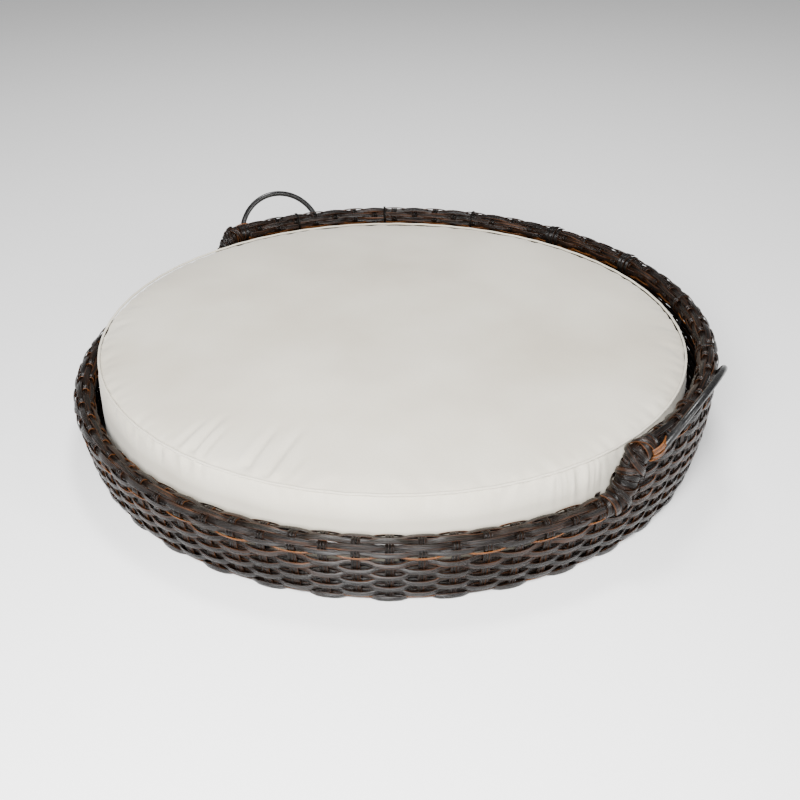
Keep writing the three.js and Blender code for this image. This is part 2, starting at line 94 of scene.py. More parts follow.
def set_stops(ramp: bpy.types.ColorRamp, stops: Sequence[tuple[float, str]]) -> None:
    """Fills a colour ramp.

    Args:
        ramp: The ramp.
        stops: Positions and sRGB hex colours, lowest first.
    """
    while len(ramp.elements) < len(stops):
        ramp.elements.new(0.5)
    for element, (place, code) in zip(ramp.elements, stops):
        element.position = place
        element.color = linear(code)


def add_node(
    tree: bpy.types.NodeTree, kind: str, settings: dict[str, Any] | None = None, **inputs: Any
) -> Any:
    """Adds a node, sets its properties, and fills or links its inputs.

    Args:
        tree: The shader or geometry node tree.
        kind: The node's type name.
        settings: Properties of the node itself, and a colour ramp's stops.
        inputs: Values or output sockets by input name, with spaces as underscores, or in0, in1 by place.

    Returns:
        The new node.
    """
    node = tree.nodes.new(kind)
    for name, value in (settings or {}).items():
        if name == "stops":
            set_stops(node.color_ramp, value)
        else:
            setattr(node, name, value)
    for name, value in inputs.items():
        by_place = name.startswith("in") and name[2:].isdigit()
        socket = node.inputs[int(name[2:])] if by_place else node.inputs[name.replace("_", " ")]
        if isinstance(value, bpy.types.NodeSocket):
            tree.links.new(value, socket)
        else:
            socket.default_value = value
    return node


def new_material(name: str) -> tuple[bpy.types.Material, bpy.types.NodeTree, Any]:
    """Makes an empty node material with a Principled shader.

    Args:
        name: What the material really is.

    Returns:
        The material, its tree and its Principled node.
    """
    material = bpy.data.materials.new(name)
    material.use_nodes = True
    tree = material.node_tree
    tree.nodes.clear()
    shader = add_node(tree, "ShaderNodeBsdfPrincipled")
    add_node(tree, "ShaderNodeOutputMaterial", Surface=shader.outputs["BSDF"])
    return material, tree, shader


# ---- Finishes ----


@dataclass(frozen=True)
class RattanStrand:
    """Extruded polyethylene strand, made to look like peeled cane.

    The die leaves fine ribs along it, which break a highlight into thin bright lines. The dye is uneven:
    an espresso ground with browner streaks, and edges worn towards orange brown.
    """

    stops: tuple[tuple[float, str], ...] = (
        (0.48, "#070504"),
        (0.62, "#120b07"),
        (0.76, "#301b0d"),
        (1.0, "#74451f"),
    )
    streak_length: float = 0.05
    streaks_across: float = 2.2
    strand_spacing: float = 37.0
    edge_wear: float = 0.2
    tone_gain: float = 0.42
    ribs: int = 5
    rib_depth: float = 0.0003
    streak_relief: float = 1.4
    smoothest: float = 0.2
    roughest: float = 0.4
    ior: float = 1.51
    specular: float = 0.24
    name: str = "polyethylene_rattan"

    def material(self) -> bpy.types.Material:
        """Builds the strand material, which reads along, across and tone from the strand itself."""
        material, tree, shader = new_material(self.name)
        along, across, tone = (
            add_node(tree, "ShaderNodeAttribute", {"attribute_name": name}).outputs["Fac"]
            for name in ("along", "across", "tone")
        )
        times, plus = {"operation": "MULTIPLY"}, {"operation": "MULTIPLY_ADD"}
        length = add_node(tree, "ShaderNodeMath", {"operation": "DIVIDE"}, in0=along, in1=self.streak_length)
        lane = add_node(tree, "ShaderNodeMath", times, in0=across, in1=self.streaks_across)
        strand = add_node(tree, "ShaderNodeMath", times, in0=tone, in1=self.strand_spacing)
        place = add_node(
            tree, "ShaderNodeCombineXYZ", X=length.outputs[0], Y=lane.outputs[0], Z=strand.outputs[0]
        )
        streaks = add_node(
            tree, "ShaderNodeTexNoise", Vector=place.outputs[0], Scale=1.0, Detail=4.0, Roughness=0.62
        ).outputs[0]
        edge = add_node(tree, "ShaderNodeMath", {"operation": "ABSOLUTE"}, in0=across)
        worn = add_node(tree, "ShaderNodeMath", {"operation": "POWER"}, in0=edge.outputs[0], in1=3.0)
        edged = add_node(tree, "ShaderNodeMath", plus, in0=worn.outputs[0], in1=self.edge_wear, in2=streaks)
        toned = add_node(tree, "ShaderNodeMath", plus, in0=tone, in1=self.tone_gain, in2=edged.outputs[0])
        colour = add_node(tree, "ShaderNodeValToRGB", {"stops": self.stops}, Fac=toned.outputs[0])
        tree.links.new(colour.outputs["Color"], shader.inputs["Base Color"])
        rib_turn = add_node(tree, "ShaderNodeMath", times, in0=across, in1=math.pi * self.ribs)
        rib = add_node(tree, "ShaderNodeMath", {"operation": "COSINE"}, in0=rib_turn.outputs[0])
        height = add_node(
            tree, "ShaderNodeMath", plus, in0=streaks, in1=self.streak_relief, in2=rib.outputs[0]
        )
        bump = add_node(
            tree, "ShaderNodeBump", Height=height.outputs[0], Strength=0.8, Distance=self.rib_depth
        )
        tree.links.new(bump.outputs[0], shader.inputs["Normal"])
        gloss = add_node(
            tree, "ShaderNodeMapRange", in0=streaks, in1=0.3, in2=0.75, in3=self.smoothest, in4=self.roughest
        )
        tree.links.new(gloss.outputs[0], shader.inputs["Roughness"])
        shader.inputs["IOR"].default_value = self.ior
        shader.inputs["Specular IOR Level"].default_value = self.specular
        return material


@dataclass(frozen=True)
class PowderCoat:
    """Gloss black powder coat on steel rod: a smooth film, faintly rippled like orange peel, with dust specks."""

    colour: str = "#0b0b0c"
    dusty: str = "#1c1b1b"
    smoothest: float = 0.22
    roughest: float = 0.4
    ripple_size: float = 0.004
    ripple_depth: float = 0.0003
    dust_size: float = 1 / 160
    ior: float = 1.5
    name: str = "black_powder_coat"

    def material(self) -> bpy.types.Material:
        """Builds the coat: a dark dielectric film whose ripple comes from Object coordinates."""
        material, tree, shader = new_material(self.name)
        place = add_node(tree, "ShaderNodeTexCoord").outputs["Object"]
        ripple = add_node(tree, "ShaderNodeTexNoise", Vector=place, Scale=1 / self.ripple_size, Detail=1.0)
        dust = add_node(
            tree, "ShaderNodeTexNoise", Vector=place, Scale=1 / self.dust_size, Detail=6.0, Roughness=0.7
        ).outputs[0]
        stops = [(0.35, self.colour), (0.75, self.dusty)]
        colour = add_node(tree, "ShaderNodeValToRGB", {"stops": stops}, Fac=dust)
        tree.links.new(colour.outputs["Color"], shader.inputs["Base Color"])
        bump = add_node(
            tree, "ShaderNodeBump", Height=ripple.outputs[0], Strength=0.12, Distance=self.ripple_depth
        )
        tree.links.new(bump.outputs[0], shader.inputs["Normal"])
        gloss = add_node(
            tree, "ShaderNodeMapRange", in0=dust, in1=0.4, in2=0.7, in3=self.smoothest, in4=self.roughest
        )
        tree.links.new(gloss.outputs[0], shader.inputs["Roughness"])
        shader.inputs["IOR"].default_value = self.ior
        return material


@dataclass(frozen=True)
class MouldedPlastic:
    """Matt moulded plastic: a fine spark-eroded grain and slight scuffs where it meets the floor."""

    colour: str = "#141312"
    worn: str = "#2a2826"
    grain: float = 0.0006
    roughness: float = 0.55
    name: str = "moulded_polypropylene"
    grain_depth: float = 0.0001
    scuff_size: float = 1 / 220

    def material(self) -> bpy.types.Material:
        """Builds the plastic from Object coordinates."""
        material, tree, shader = new_material(self.name)
        place = add_node(tree, "ShaderNodeTexCoord").outputs["Object"]
        grain = add_node(tree, "ShaderNodeTexNoise", Vector=place, Scale=1 / self.grain, Detail=2.0)
        scuffs = add_node(
            tree, "ShaderNodeTexNoise", Vector=place, Scale=1 / self.scuff_size, Detail=5.0, Roughness=0.7
        )
        stops = [(0.4, self.colour), (0.8, self.worn)]
        colour = add_node(tree, "ShaderNodeValToRGB", {"stops": stops}, Fac=scuffs.outputs[0])
        tree.links.new(colour.outputs["Color"], shader.inputs["Base Color"])
        bump = add_node(
            tree, "ShaderNodeBump", Height=grain.outputs[0], Strength=0.3, Distance=self.grain_depth
        )
        tree.links.new(bump.outputs[0], shader.inputs["Normal"])
        shader.inputs["Roughness"].default_value = self.roughness
        return material


@dataclass(frozen=True)
class WovenCloth:
    """Plain-woven cotton and polyester, off-white: a soft matt cloth whose crossing threads show only as a
    fine even grain, slightly warmer where it is soiled."""

    light: str = "#cbc5b6"
    dark: str = "#b8b09f"
    thread: float = 0.0011
    relief: float = 0.00012
    name: str = "plain_woven_cotton"
    slub_size: float = 1 / 900
    cloud_size: float = 1 / 7
    roughness: float = 0.92
    sheen: float = 0.18
    sheen_roughness: float = 0.5

    def material(self) -> bpy.types.Material:
        """Builds the cloth. Thread spacing is drawn at about twice the real 0.5 mm, the finest that shows."""
        material, tree, shader = new_material(self.name)
        place = add_node(tree, "ShaderNodeTexCoord").outputs["Object"]
        warp, weft = (
            add_node(
                tree,
                "ShaderNodeTexWave",
                {"wave_type": "BANDS", "bands_direction": axis},
                Vector=place,
                Scale=1 / self.thread / 20,
                Distortion=0.6,
                Detail=1.0,
            ).outputs["Fac"]
            for axis in "XY"
        )
        threads = add_node(tree, "ShaderNodeMath", {"operation": "MAXIMUM"}, in0=warp, in1=weft).outputs[0]
        slub = add_node(
            tree, "ShaderNodeTexNoise", Vector=place, Scale=1 / self.slub_size, Detail=3.0, Roughness=0.6
        ).outputs[0]
        cloud = add_node(
            tree, "ShaderNodeTexNoise", Vector=place, Scale=1 / self.cloud_size, Detail=3.0, Roughness=0.5
        ).outputs[0]
        plus = {"operation": "MULTIPLY_ADD"}
        mixed = add_node(tree, "ShaderNodeMath", plus, in0=slub, in1=0.35, in2=cloud)
        stops = [(0.45, self.dark), (0.85, self.light)]
        colour = add_node(tree, "ShaderNodeValToRGB", {"stops": stops}, Fac=mixed.outputs[0])
        tree.links.new(colour.outputs["Color"], shader.inputs["Base Color"])
        height = add_node(tree, "ShaderNodeMath", plus, in0=slub, in1=0.8, in2=threads)
        bump = add_node(
            tree, "ShaderNodeBump", Height=height.outputs[0], Strength=0.35, Distance=self.relief
        )
        tree.links.new(bump.outputs[0], shader.inputs["Normal"])
        shader.inputs["Roughness"].default_value = self.roughness
        shader.inputs["Sheen Weight"].default_value = self.sheen
        shader.inputs["Sheen Roughness"].default_value = self.sheen_roughness
        return material


@dataclass(frozen=True)
class NickelPlate:
    """Satin nickel plate on die-cast zinc: a warm grey metal with tumbling marks that blur its highlights."""

    dull: str = "#a29e94"
    colour: str = "#b8b4aa"
    mark_size: float = 1 / 900
    smoothest: float = 0.22
    roughest: float = 0.4
    name: str = "satin_nickel_plate"

    def material(self) -> bpy.types.Material:
        """Builds the plate from Object coordinates."""
        material, tree, shader = new_material(self.name)
        place = add_node(tree, "ShaderNodeTexCoord").outputs["Object"]
        marks = add_node(
            tree, "ShaderNodeTexNoise", Vector=place, Scale=1 / self.mark_size, Detail=4.0, Roughness=0.6
        ).outputs[0]
        stops = [(0.3, self.dull), (0.7, self.colour)]
        colour = add_node(tree, "ShaderNodeValToRGB", {"stops": stops}, Fac=marks)
        tree.links.new(colour.outputs["Color"], shader.inputs["Base Color"])
        gloss = add_node(
            tree, "ShaderNodeMapRange", in0=marks, in1=0.3, in2=0.7, in3=self.smoothest, in4=self.roughest
        )
        tree.links.new(gloss.outputs[0], shader.inputs["Roughness"])
        shader.inputs["Metallic"].default_value = 1.0
        return material


@dataclass
class Finishes:
    """The materials, each built once."""

    strand: bpy.types.Material = field(default_factory=lambda: RattanStrand().material())
    coat: bpy.types.Material = field(default_factory=lambda: PowderCoat().material())
    plastic: bpy.types.Material = field(default_factory=lambda: MouldedPlastic().material())
    cloth: bpy.types.Material = field(default_factory=lambda: WovenCloth().material())
    tape: bpy.types.Material = field(
        default_factory=lambda: WovenCloth("#cfcabc", "#b4ad9c", 0.0009, 0.00008, "woven_zip_tape").material()
    )
    coil: bpy.types.Material = field(
        default_factory=lambda: MouldedPlastic("#c9c4b6", "#aaa493", 0.0005, 0.4, "nylon_coil").material()
    )
    nickel: bpy.types.Material = field(default_factory=lambda: NickelPlate().material())


# ---- The basket's shape, read from the frame ----


def smooth(value: Array) -> Array:
    """Eases values from 0 to 1 with level ends."""
    t = np.clip(value, 0.0, 1.0)
    return t * t * (3 - 2 * t)


def ring_xy(angle: Array) -> Array:
    """Unit vectors in the floor plane that point from the middle towards each angle."""
    turn = np.radians(angle)
    return np.stack([-np.sin(turn), np.cos(turn), np.zeros_like(turn)], axis=-1)


@dataclass
class BasketShape:
    """Where the wall and the rim lie, worked out from the CAD boxes and the S-bends' own sizes.

    The posts, the base ring and the rim tube share one bowed surface, the frame line. The wall is woven
    outside it, so that the wall runs flush into the rim's roll.
    """

    step_angle: float = 91.0
    bend_radius: float = 0.020
    bend_slope: float = math.radians(72)
    step_wrap_start: float = 86.33
    step_wrap_end: float = 95.67
    low_flare: float = 0.0110
    high_flare: float = 0.0116
    wall_offset: float = 0.0081
    stake_count: int = 76

    def __post_init__(self) -> None:
        """Reads the ring and both rims from the frame."""
        ring_low, ring_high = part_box("base_ring")
        self.rod_radius = (ring_high[2] - ring_low[2]) / 2
        self.ring_radius = ring_high[0] - self.rod_radius
        self.ring_height = ring_low[2] + self.rod_radius
        front_low, front_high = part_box("rim_tube_front")
        tube_half = (front_high[2] - front_low[2]) / 2
        self.low_centre = front_low[2] + tube_half
        self.high_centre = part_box("rim_tube_back")[1][2] - tube_half
        self.low_radius = self.ring_radius + self.low_flare
        self.high_radius = self.ring_radius + self.high_flare
        self.pitch = 360.0 / self.stake_count
        rise = self.high_centre - self.low_centre
        self.arc_run = self.bend_radius * math.sin(self.bend_slope)
        self.arc_drop = self.bend_radius * (1 - math.cos(self.bend_slope))
        self.step_run = 2 * self.arc_run + (rise - 2 * self.arc_drop) / math.tan(self.bend_slope)
        self.step_radius = float(self.wall_radius(np.array((self.low_centre + self.high_centre) / 2)))

    def wall_radius(self, z: Array) -> Array:
        """Radius of the frame line: one bow through the base ring and both rims.

        Args:
            z: Heights.

        Returns:
            One radius for each height.
        """
        low_slope = (self.low_radius - self.ring_radius) / (self.low_centre - self.ring_height)
        high_slope = (self.high_radius - self.low_radius) / (self.high_centre - self.low_centre)
        bow = (high_slope - low_slope) / (self.high_centre - self.ring_height)
        above = np.maximum(z - self.ring_height, 0.0)
        return self.ring_radius + above * (low_slope + bow * (z - self.low_centre))

    def wall_slope(self, z: Array) -> Array:
        """How fast the wall leans outwards at each height."""
        step = 0.0005
        return (self.wall_radius(z + step) - self.wall_radius(z - step)) / (2 * step)

    def rim_height(self, angle: Array) -> Array:
        """Height of the rim tube's centre line: level, an S-bend of two arcs and a straight, then level.

        Args:
            angle: Degrees round the basket.

        Returns:
            One height for each angle.
        """
        wrapped = (np.asarray(angle, float) + 180) % 360 - 180
        distance = np.radians(np.abs(wrapped) - self.step_angle) * self.step_radius
        from_top = np.clip(distance + self.step_run / 2, 0, self.step_run)
        from_foot = self.step_run - from_top
        top_arc = self.high_centre - self.bend_radius + np.sqrt(
            np.maximum(self.bend_radius**2 - np.minimum(from_top, self.arc_run) ** 2, 0)
        )
        foot_arc = self.low_centre + self.bend_radius - np.sqrt(
            np.maximum(self.bend_radius**2 - np.minimum(from_foot, self.arc_run) ** 2, 0)
        )
        straight = self.high_centre - self.arc_drop - (from_top - self.arc_run) * math.tan(self.bend_slope)
        lower = np.where(from_foot < self.arc_run, foot_arc, straight)
        return np.where(from_top < self.arc_run, top_arc, lower)

    def rim_gap(self, angle: Array, z: float) -> Array:
        """Distance from points on the frame line to the nearest point of the rim's centre line.

        Args:
            angle: Degrees round the basket.
            z: The points' height.

        Returns:
            One distance for each angle.
        """
        reach = math.degrees(0.75 * self.step_run / self.step_radius)
        near = np.linspace(-reach, reach, 81)
        rim = self.rim_height(angle[:, None] + near)
        return np.min(np.hypot(np.radians(near) * self.step_radius, rim - z), axis=1)

    def in_step(self, angle: Array, fade: float = 1.4) -> Array:
        """How far each angle is inside a wrapped S-bend.

        Args:
            angle: Degrees round the basket.
            fade: Over how many degrees it rises.

        Returns:
            Shares from 0 to 1.
        """
        wrapped = np.abs((np.asarray(angle, float) + 180) % 360 - 180)
        rising = smooth((wrapped - self.step_wrap_start + fade) / fade)
        falling = smooth((self.step_wrap_end + fade - wrapped) / fade)
        return rising * falling

    def rim_centre(self, angle: Array) -> Array:
        """Points on the rim tube's centre line at each angle."""
        z = self.rim_height(angle)
        point = ring_xy(angle) * self.wall_radius(z)[..., None]
        point[..., 2] = z
        return point

    def rim_frames(self, angle: Array) -> tuple[Array, Array, Array, Array]:
        """Centre, tangent, outward and upward directions of the rim.

        Args:
            angle: Degrees round the basket.

        Returns:
            Four arrays of vectors, one vector for each angle.
        """
        angle = np.asarray(angle, float)
        probe = 0.02
        middle = self.rim_centre(angle)
        tangent = self.rim_centre(angle + probe) - self.rim_centre(angle - probe)
        tangent /= np.linalg.norm(tangent, axis=-1, keepdims=True)
        outward = ring_xy(angle)
        outward[..., 2] = -self.wall_slope(self.rim_height(angle))
        outward -= np.sum(outward * tangent, axis=-1, keepdims=True) * tangent
        outward /= np.linalg.norm(outward, axis=-1, keepdims=True)
        return middle, tangent, outward, np.cross(outward, tangent)

    def on_roll(self, angle: Array, polar: Array, radius: Array) -> tuple[Array, Array]:
        """Points round the rim tube, with their outward normals.

        Args:
            angle: Degrees round the basket.
            polar: Degrees round the tube, 0 outwards and 90 up.
            radius: Distance from the tube's centre line.

        Returns:
            Points and normals.
        """
        middle, _, outward, upward = self.rim_frames(angle)
        turn = np.radians(np.broadcast_to(polar, np.shape(angle)))[..., None]
        normal = np.cos(turn) * outward + np.sin(turn) * upward
        reach = np.broadcast_to(radius, np.shape(angle))[..., None]
        return middle + reach * normal, normal

    def on_wall(self, angle: Array, z: Array, offset: Array) -> tuple[Array, Array]:
        """Points at an offset outwards from the frame line.

        Args:
            angle: Degrees round the basket.
            z: Height.
            offset: Distance outwards.

        Returns:
            Points and outward normals.
        """
        angle = np.asarray(angle, float)
        height = np.broadcast_to(z, angle.shape).astype(float)
        normal = ring_xy(angle)
        normal[..., 2] = -self.wall_slope(height)
        normal /= np.linalg.norm(normal, axis=-1, keepdims=True)
        point = ring_xy(angle) * self.wall_radius(height)[..., None]
        point[..., 2] = height
        return point + normal * np.broadcast_to(offset, angle.shape)[..., None], normal

    def on_ring(self, angle: Array, polar: Array, radius: Array) -> tuple[Array, Array]:
        """Points round the base ring's rod.

        Args:
            angle: Degrees round the basket.
            polar: Degrees round the rod, 0 outwards and -90 down.
            radius: Distance from the rod's centre line.

        Returns:
            Points and outward normals.
        """
        angle = np.asarray(angle, float)
        turn = np.radians(np.broadcast_to(polar, angle.shape))[..., None]
        normal = np.cos(turn) * ring_xy(angle) + np.sin(turn) * np.array([0.0, 0.0, 1.0])
        middle = ring_xy(angle) * self.ring_radius
        middle[..., 2] = self.ring_height
        return middle + normal * np.broadcast_to(radius, angle.shape)[..., None], normal


# ---- Strands: rails drawn in code, swept by Geometry Nodes ----


@dataclass
class Rail:
    """The middle line of one strand, with the direction that its face looks."""

    points: Array
    outward: Array
    closed: bool = False
    tone: float = 0.0


def rails_object(name: str, rails: Iterable[Rail]) -> bpy.types.Object:
    """Puts rails in one mesh of bare edges that carries their directions.

    Args:
        name: The piece's name.
        rails: The strands' rails.

    Returns:
        The new object, linked to the scene.
    """
    points, outward, tone, along, edges = [], [], [], [], []
    start = 0
    for rail in rails:
        count = len(rail.points)
        steps = np.linalg.norm(np.diff(rail.points, axis=0), axis=1)
        points.append(rail.points)
        outward.append(rail.outward)
        tone.append(np.full(count, rail.tone))
        along.append(np.concatenate([[0.0], np.cumsum(steps)]))
        edges += [(start + i, start + i + 1) for i in range(count - 1)]
        if rail.closed:
            edges.append((start + count - 1, start))
        start += count
    mesh = bpy.data.meshes.new(name)
    mesh.from_pydata(np.concatenate(points).tolist(), edges, [])
    vectors = mesh.attributes.new("outward", "FLOAT_VECTOR", "POINT")
    vectors.data.foreach_set("vector", np.concatenate(outward).astype(np.float32).ravel())
    for label, values in (("tone", tone), ("along", along)):
        layer = mesh.attributes.new(label, "FLOAT", "POINT")
        layer.data.foreach_set("value", np.concatenate(values).astype(np.float32))
    thing = bpy.data.objects.new(name, mesh)
    bpy.context.scene.collection.objects.link(thing)
    return thing


def new_tree(name: str, sockets: Sequence[tuple[str, str]]) -> tuple[bpy.types.NodeTree, Any]:
    """Starts a geometry node tree with named inputs.

    Args:
        name: The tree's name.
        sockets: Name and socket type of each input after the geometry.

    Returns:
        The tree and its Group Input node.
    """
    tree = bpy.data.node_groups.new(name, "GeometryNodeTree")
    tree.interface.new_socket("Geometry", in_out="INPUT", socket_type="NodeSocketGeometry")
    for label, kind in sockets:
        tree.interface.new_socket(label, in_out="INPUT", socket_type=kind)
    tree.interface.new_socket("Geometry", in_out="OUTPUT", socket_type="NodeSocketGeometry")
    return tree, add_node(tree, "NodeGroupInput")


def finish_tree(
    tree: bpy.types.NodeTree, geometry: bpy.types.NodeSocket, material: bpy.types.NodeSocket
) -> None:
    """Ends a tree in Realize Instances and Set Material.

    Args:
        tree: The geometry tree.
        geometry: What it has made.
        material: The finish.
    """
    real = add_node(tree, "GeometryNodeRealizeInstances", Geometry=geometry)
    dressed = add_node(tree, "GeometryNodeSetMaterial", Geometry=real.outputs[0], Material=material)
    add_node(tree, "NodeGroupOutput", Geometry=dressed.outputs[0])


def sweep_nodes(tree: bpy.types.NodeTree, source: Any, rails: bpy.types.NodeSocket) -> bpy.types.NodeSocket:
    """Adds the nodes that sweep a rounded flat section along rails.

    Args:
        tree: The geometry tree.
        source: A Group Input with Width, Thickness and Sides.
        rails: Bare edges that carry outward.

    Returns:
        The strands' mesh socket.
    """
    outward = add_node(tree, "GeometryNodeInputNamedAttribute", {"data_type": "FLOAT_VECTOR"}, Name="outward")
    curve = add_node(tree, "GeometryNodeMeshToCurve", Mesh=rails)
    turned = add_node(tree, "GeometryNodeSetCurveNormal", {"mode": "FREE"}, Curve=curve.outputs[0])
    tree.links.new(outward.outputs["Attribute"], turned.inputs["Normal"])
    circle = add_node(tree, "GeometryNodeCurvePrimitiveCircle", Resolution=source.outputs["Sides"], Radius=1.0)
    place = add_node(tree, "GeometryNodeInputPosition")
    parts = add_node(tree, "ShaderNodeSeparateXYZ", Vector=place.outputs[0])
    marked = add_node(
        tree,
        "GeometryNodeStoreNamedAttribute",
        {"data_type": "FLOAT", "domain": "POINT"},
        Geometry=circle.outputs[0],
        Name="across",
    )
    tree.links.new(parts.outputs["Y"], marked.inputs["Value"])
    sized = []
    for size, axis in (("Thickness", "X"), ("Width", "Y")):
        times = {"operation": "MULTIPLY"}
        half = add_node(tree, "ShaderNodeMath", times, in0=source.outputs[size], in1=0.5)
        place = add_node(tree, "ShaderNodeMath", times, in0=parts.outputs[axis], in1=half.outputs[0])
        sized.append(place.outputs[0])
    flat = add_node(tree, "ShaderNodeCombineXYZ", X=sized[0], Y=sized[1])
    section = add_node(tree, "GeometryNodeSetPosition", Geometry=marked.outputs[0], Position=flat.outputs[0])
    mesh = add_node(
        tree, "GeometryNodeCurveToMesh", Curve=turned.outputs[0], Profile_Curve=section.outputs[0], Fill_Caps=True
    )
    shaded = add_node(tree, "GeometryNodeSetShadeSmooth", Geometry=mesh.outputs[0])
    return shaded.outputs[0]


SWEEP_SOCKETS = [
    ("Width", "NodeSocketFloat"),
    ("Thickness", "NodeSocketFloat"),
    ("Sides", "NodeSocketInt"),
    ("Material", "NodeSocketMaterial"),
]


STAKE_WOBBLE = 0.0022  # how far a stake strays from its even place, in radians
STAKE_SEED = 7


def strand_tree() -> bpy.types.NodeTree:
    """Builds the tree that sweeps a strand along every rail."""
    tree, source = new_tree("strand_sweep", SWEEP_SOCKETS)
    finish_tree(tree, sweep_nodes(tree, source, source.outputs["Geometry"]), source.outputs["Material"])
    return tree


def around_tree() -> bpy.types.NodeTree:
    """Builds the tree that sweeps one stake's strands and repeats them round the basket."""
    extra = [
        ("Count", "NodeSocketInt"),
        ("First Angle", "NodeSocketFloat"),
        ("Angle Step", "NodeSocketFloat"),
        ("Seed", "NodeSocketInt"),
    ]
    tree, source = new_tree("repeat_around", SWEEP_SOCKETS + extra)
    strands = sweep_nodes(tree, source, source.outputs["Geometry"])
    points = add_node(tree, "GeometryNodePoints", Count=source.outputs["Count"])
    index = add_node(tree, "GeometryNodeInputIndex")
    turn = add_node(
        tree,
        "ShaderNodeMath",
        {"operation": "MULTIPLY_ADD"},
        in0=index.outputs[0],
        in1=source.outputs["Angle Step"],
        in2=source.outputs["First Angle"],
    )
    wobble = add_node(
        tree,
        "FunctionNodeRandomValue",
        {"data_type": "FLOAT"},
        Seed=source.outputs["Seed"],
        in2=-STAKE_WOBBLE,
        in3=STAKE_WOBBLE,
    ).outputs["Value"]
    turned = add_node(tree, "ShaderNodeMath", {"operation": "ADD"}, in0=turn.outputs[0], in1=wobble)
    rotation = add_node(tree, "ShaderNodeCombineXYZ", Z=turned.outputs[0])
    placed = add_node(
        tree,
        "GeometryNodeInstanceOnPoints",
        Points=points.outputs[0],
        Instance=strands,
        Rotation=rotation.outputs[0],
    )
    finish_tree(tree, placed.outputs[0], source.outputs["Material"])
    return tree


def bake_tree(thing: bpy.types.Object, tree: bpy.types.NodeTree, **inputs: Any) -> bpy.types.Object:
    """Runs a geometry tree on an object and keeps the result as its plain mesh.

    Args:
        thing: The object that carries the tree's input.
        tree: The geometry tree.
        inputs: Values by input name, with spaces as underscores.

    Returns:
        The same object with its new mesh and no modifier.
    """
    modifier = thing.modifiers.new(tree.name, "NODES")
    modifier.node_group = tree
    for item in tree.interface.items_tree:
        key = item.name.replace(" ", "_")
        if item.in_out == "INPUT" and key in inputs:
            modifier[item.identifier] = inputs[key]
    bake_modifiers(thing)
    return thing


def bake_modifiers(thing: bpy.types.Object) -> None:
    """Replaces an object's mesh with what its modifiers make, and removes them.

    Args:
        thing: The object.
    """
    graph = bpy.context.evaluated_depsgraph_get()
    mesh = bpy.data.meshes.new_from_object(thing.evaluated_get(graph), depsgraph=graph)
    thing.modifiers.clear()
    old = thing.data
    thing.data = mesh
    mesh.name = thing.name
    bpy.data.meshes.remove(old)


def vertices(mesh: bpy.types.Mesh) -> Array:
    """Reads a mesh's points.

    Args:
        mesh: The mesh.

    Returns:
        An array of three columns.
    """
    values = np.empty(3 * len(mesh.vertices), np.float64)
    mesh.vertices.foreach_get("co", values)
    return values.reshape(-1, 3)


def set_vertices(mesh: bpy.types.Mesh, points: Array) -> None:
    """Moves a mesh's points."""
    mesh.vertices.foreach_set("co", points.ravel())
    mesh.update()


def settle(thing: bpy.types.Object, body: Body, slot: Slot, *nodes: str) -> None:
    """Gives a piece its body, hides the CAD nodes that it stands for and logs its triangles.

    Args:
        thing: The finished piece.
        body: What it moves with.
        slot: Not used.
        nodes: CAD nodes that it replaces.
    """
    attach(thing, body.value)
    if nodes:
        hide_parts(*nodes)
    faces = sum(len(p.vertices) - 2 for p in thing.data.polygons)
    LOG.info("%s on %s: %d triangles", thing.name, body.value, faces)


@dataclass
class Weaver:
    """Turns rails to strands of one finish."""

    material: bpy.types.Material
    sweep: bpy.types.NodeTree = field(default_factory=strand_tree)
    repeat: bpy.types.NodeTree = field(default_factory=around_tree)

    def strands(
        self, name: str, rails: Iterable[Rail], width: float, thickness: float, sides: int = 8
    ) -> bpy.types.Object:
        """Sweeps rails to one mesh piece.

        Args:
            name: The piece's name.
            rails: Its strands.
            width: Across a strand's face.
            thickness: Through a strand.
            sides: Corners of its section.

        Returns:
            The piece.
        """
        thing = rails_object(name, rails)
        return bake_tree(
            thing, self.sweep, Width=width, Thickness=thickness, Sides=sides, Material=self.material
        )

    def stakes(
        self,
        name: str,
        rails: Iterable[Rail],
        run: tuple[int, float, float],
        size: tuple[float, float],
    ) -> bpy.types.Object:
        """Sweeps one stake's rails and repeats them round the basket.

        Args:
            name: The piece's name.
            rails: The strands of one stake, drawn at angle 0.
            run: How many stakes, the first one's angle and the step, in degrees.
            size: Width and thickness of a strand.

        Returns:
            The piece.
        """
        thing = rails_object(name, rails)
        count, first, step = run
        return bake_tree(
            thing,
            self.repeat,
            Width=size[0],
            Thickness=size[1],
            Sides=6,
            Material=self.material,
            Count=count,
            First_Angle=math.radians(first),
            Angle_Step=math.radians(step),
            Seed=STAKE_SEED,
        )


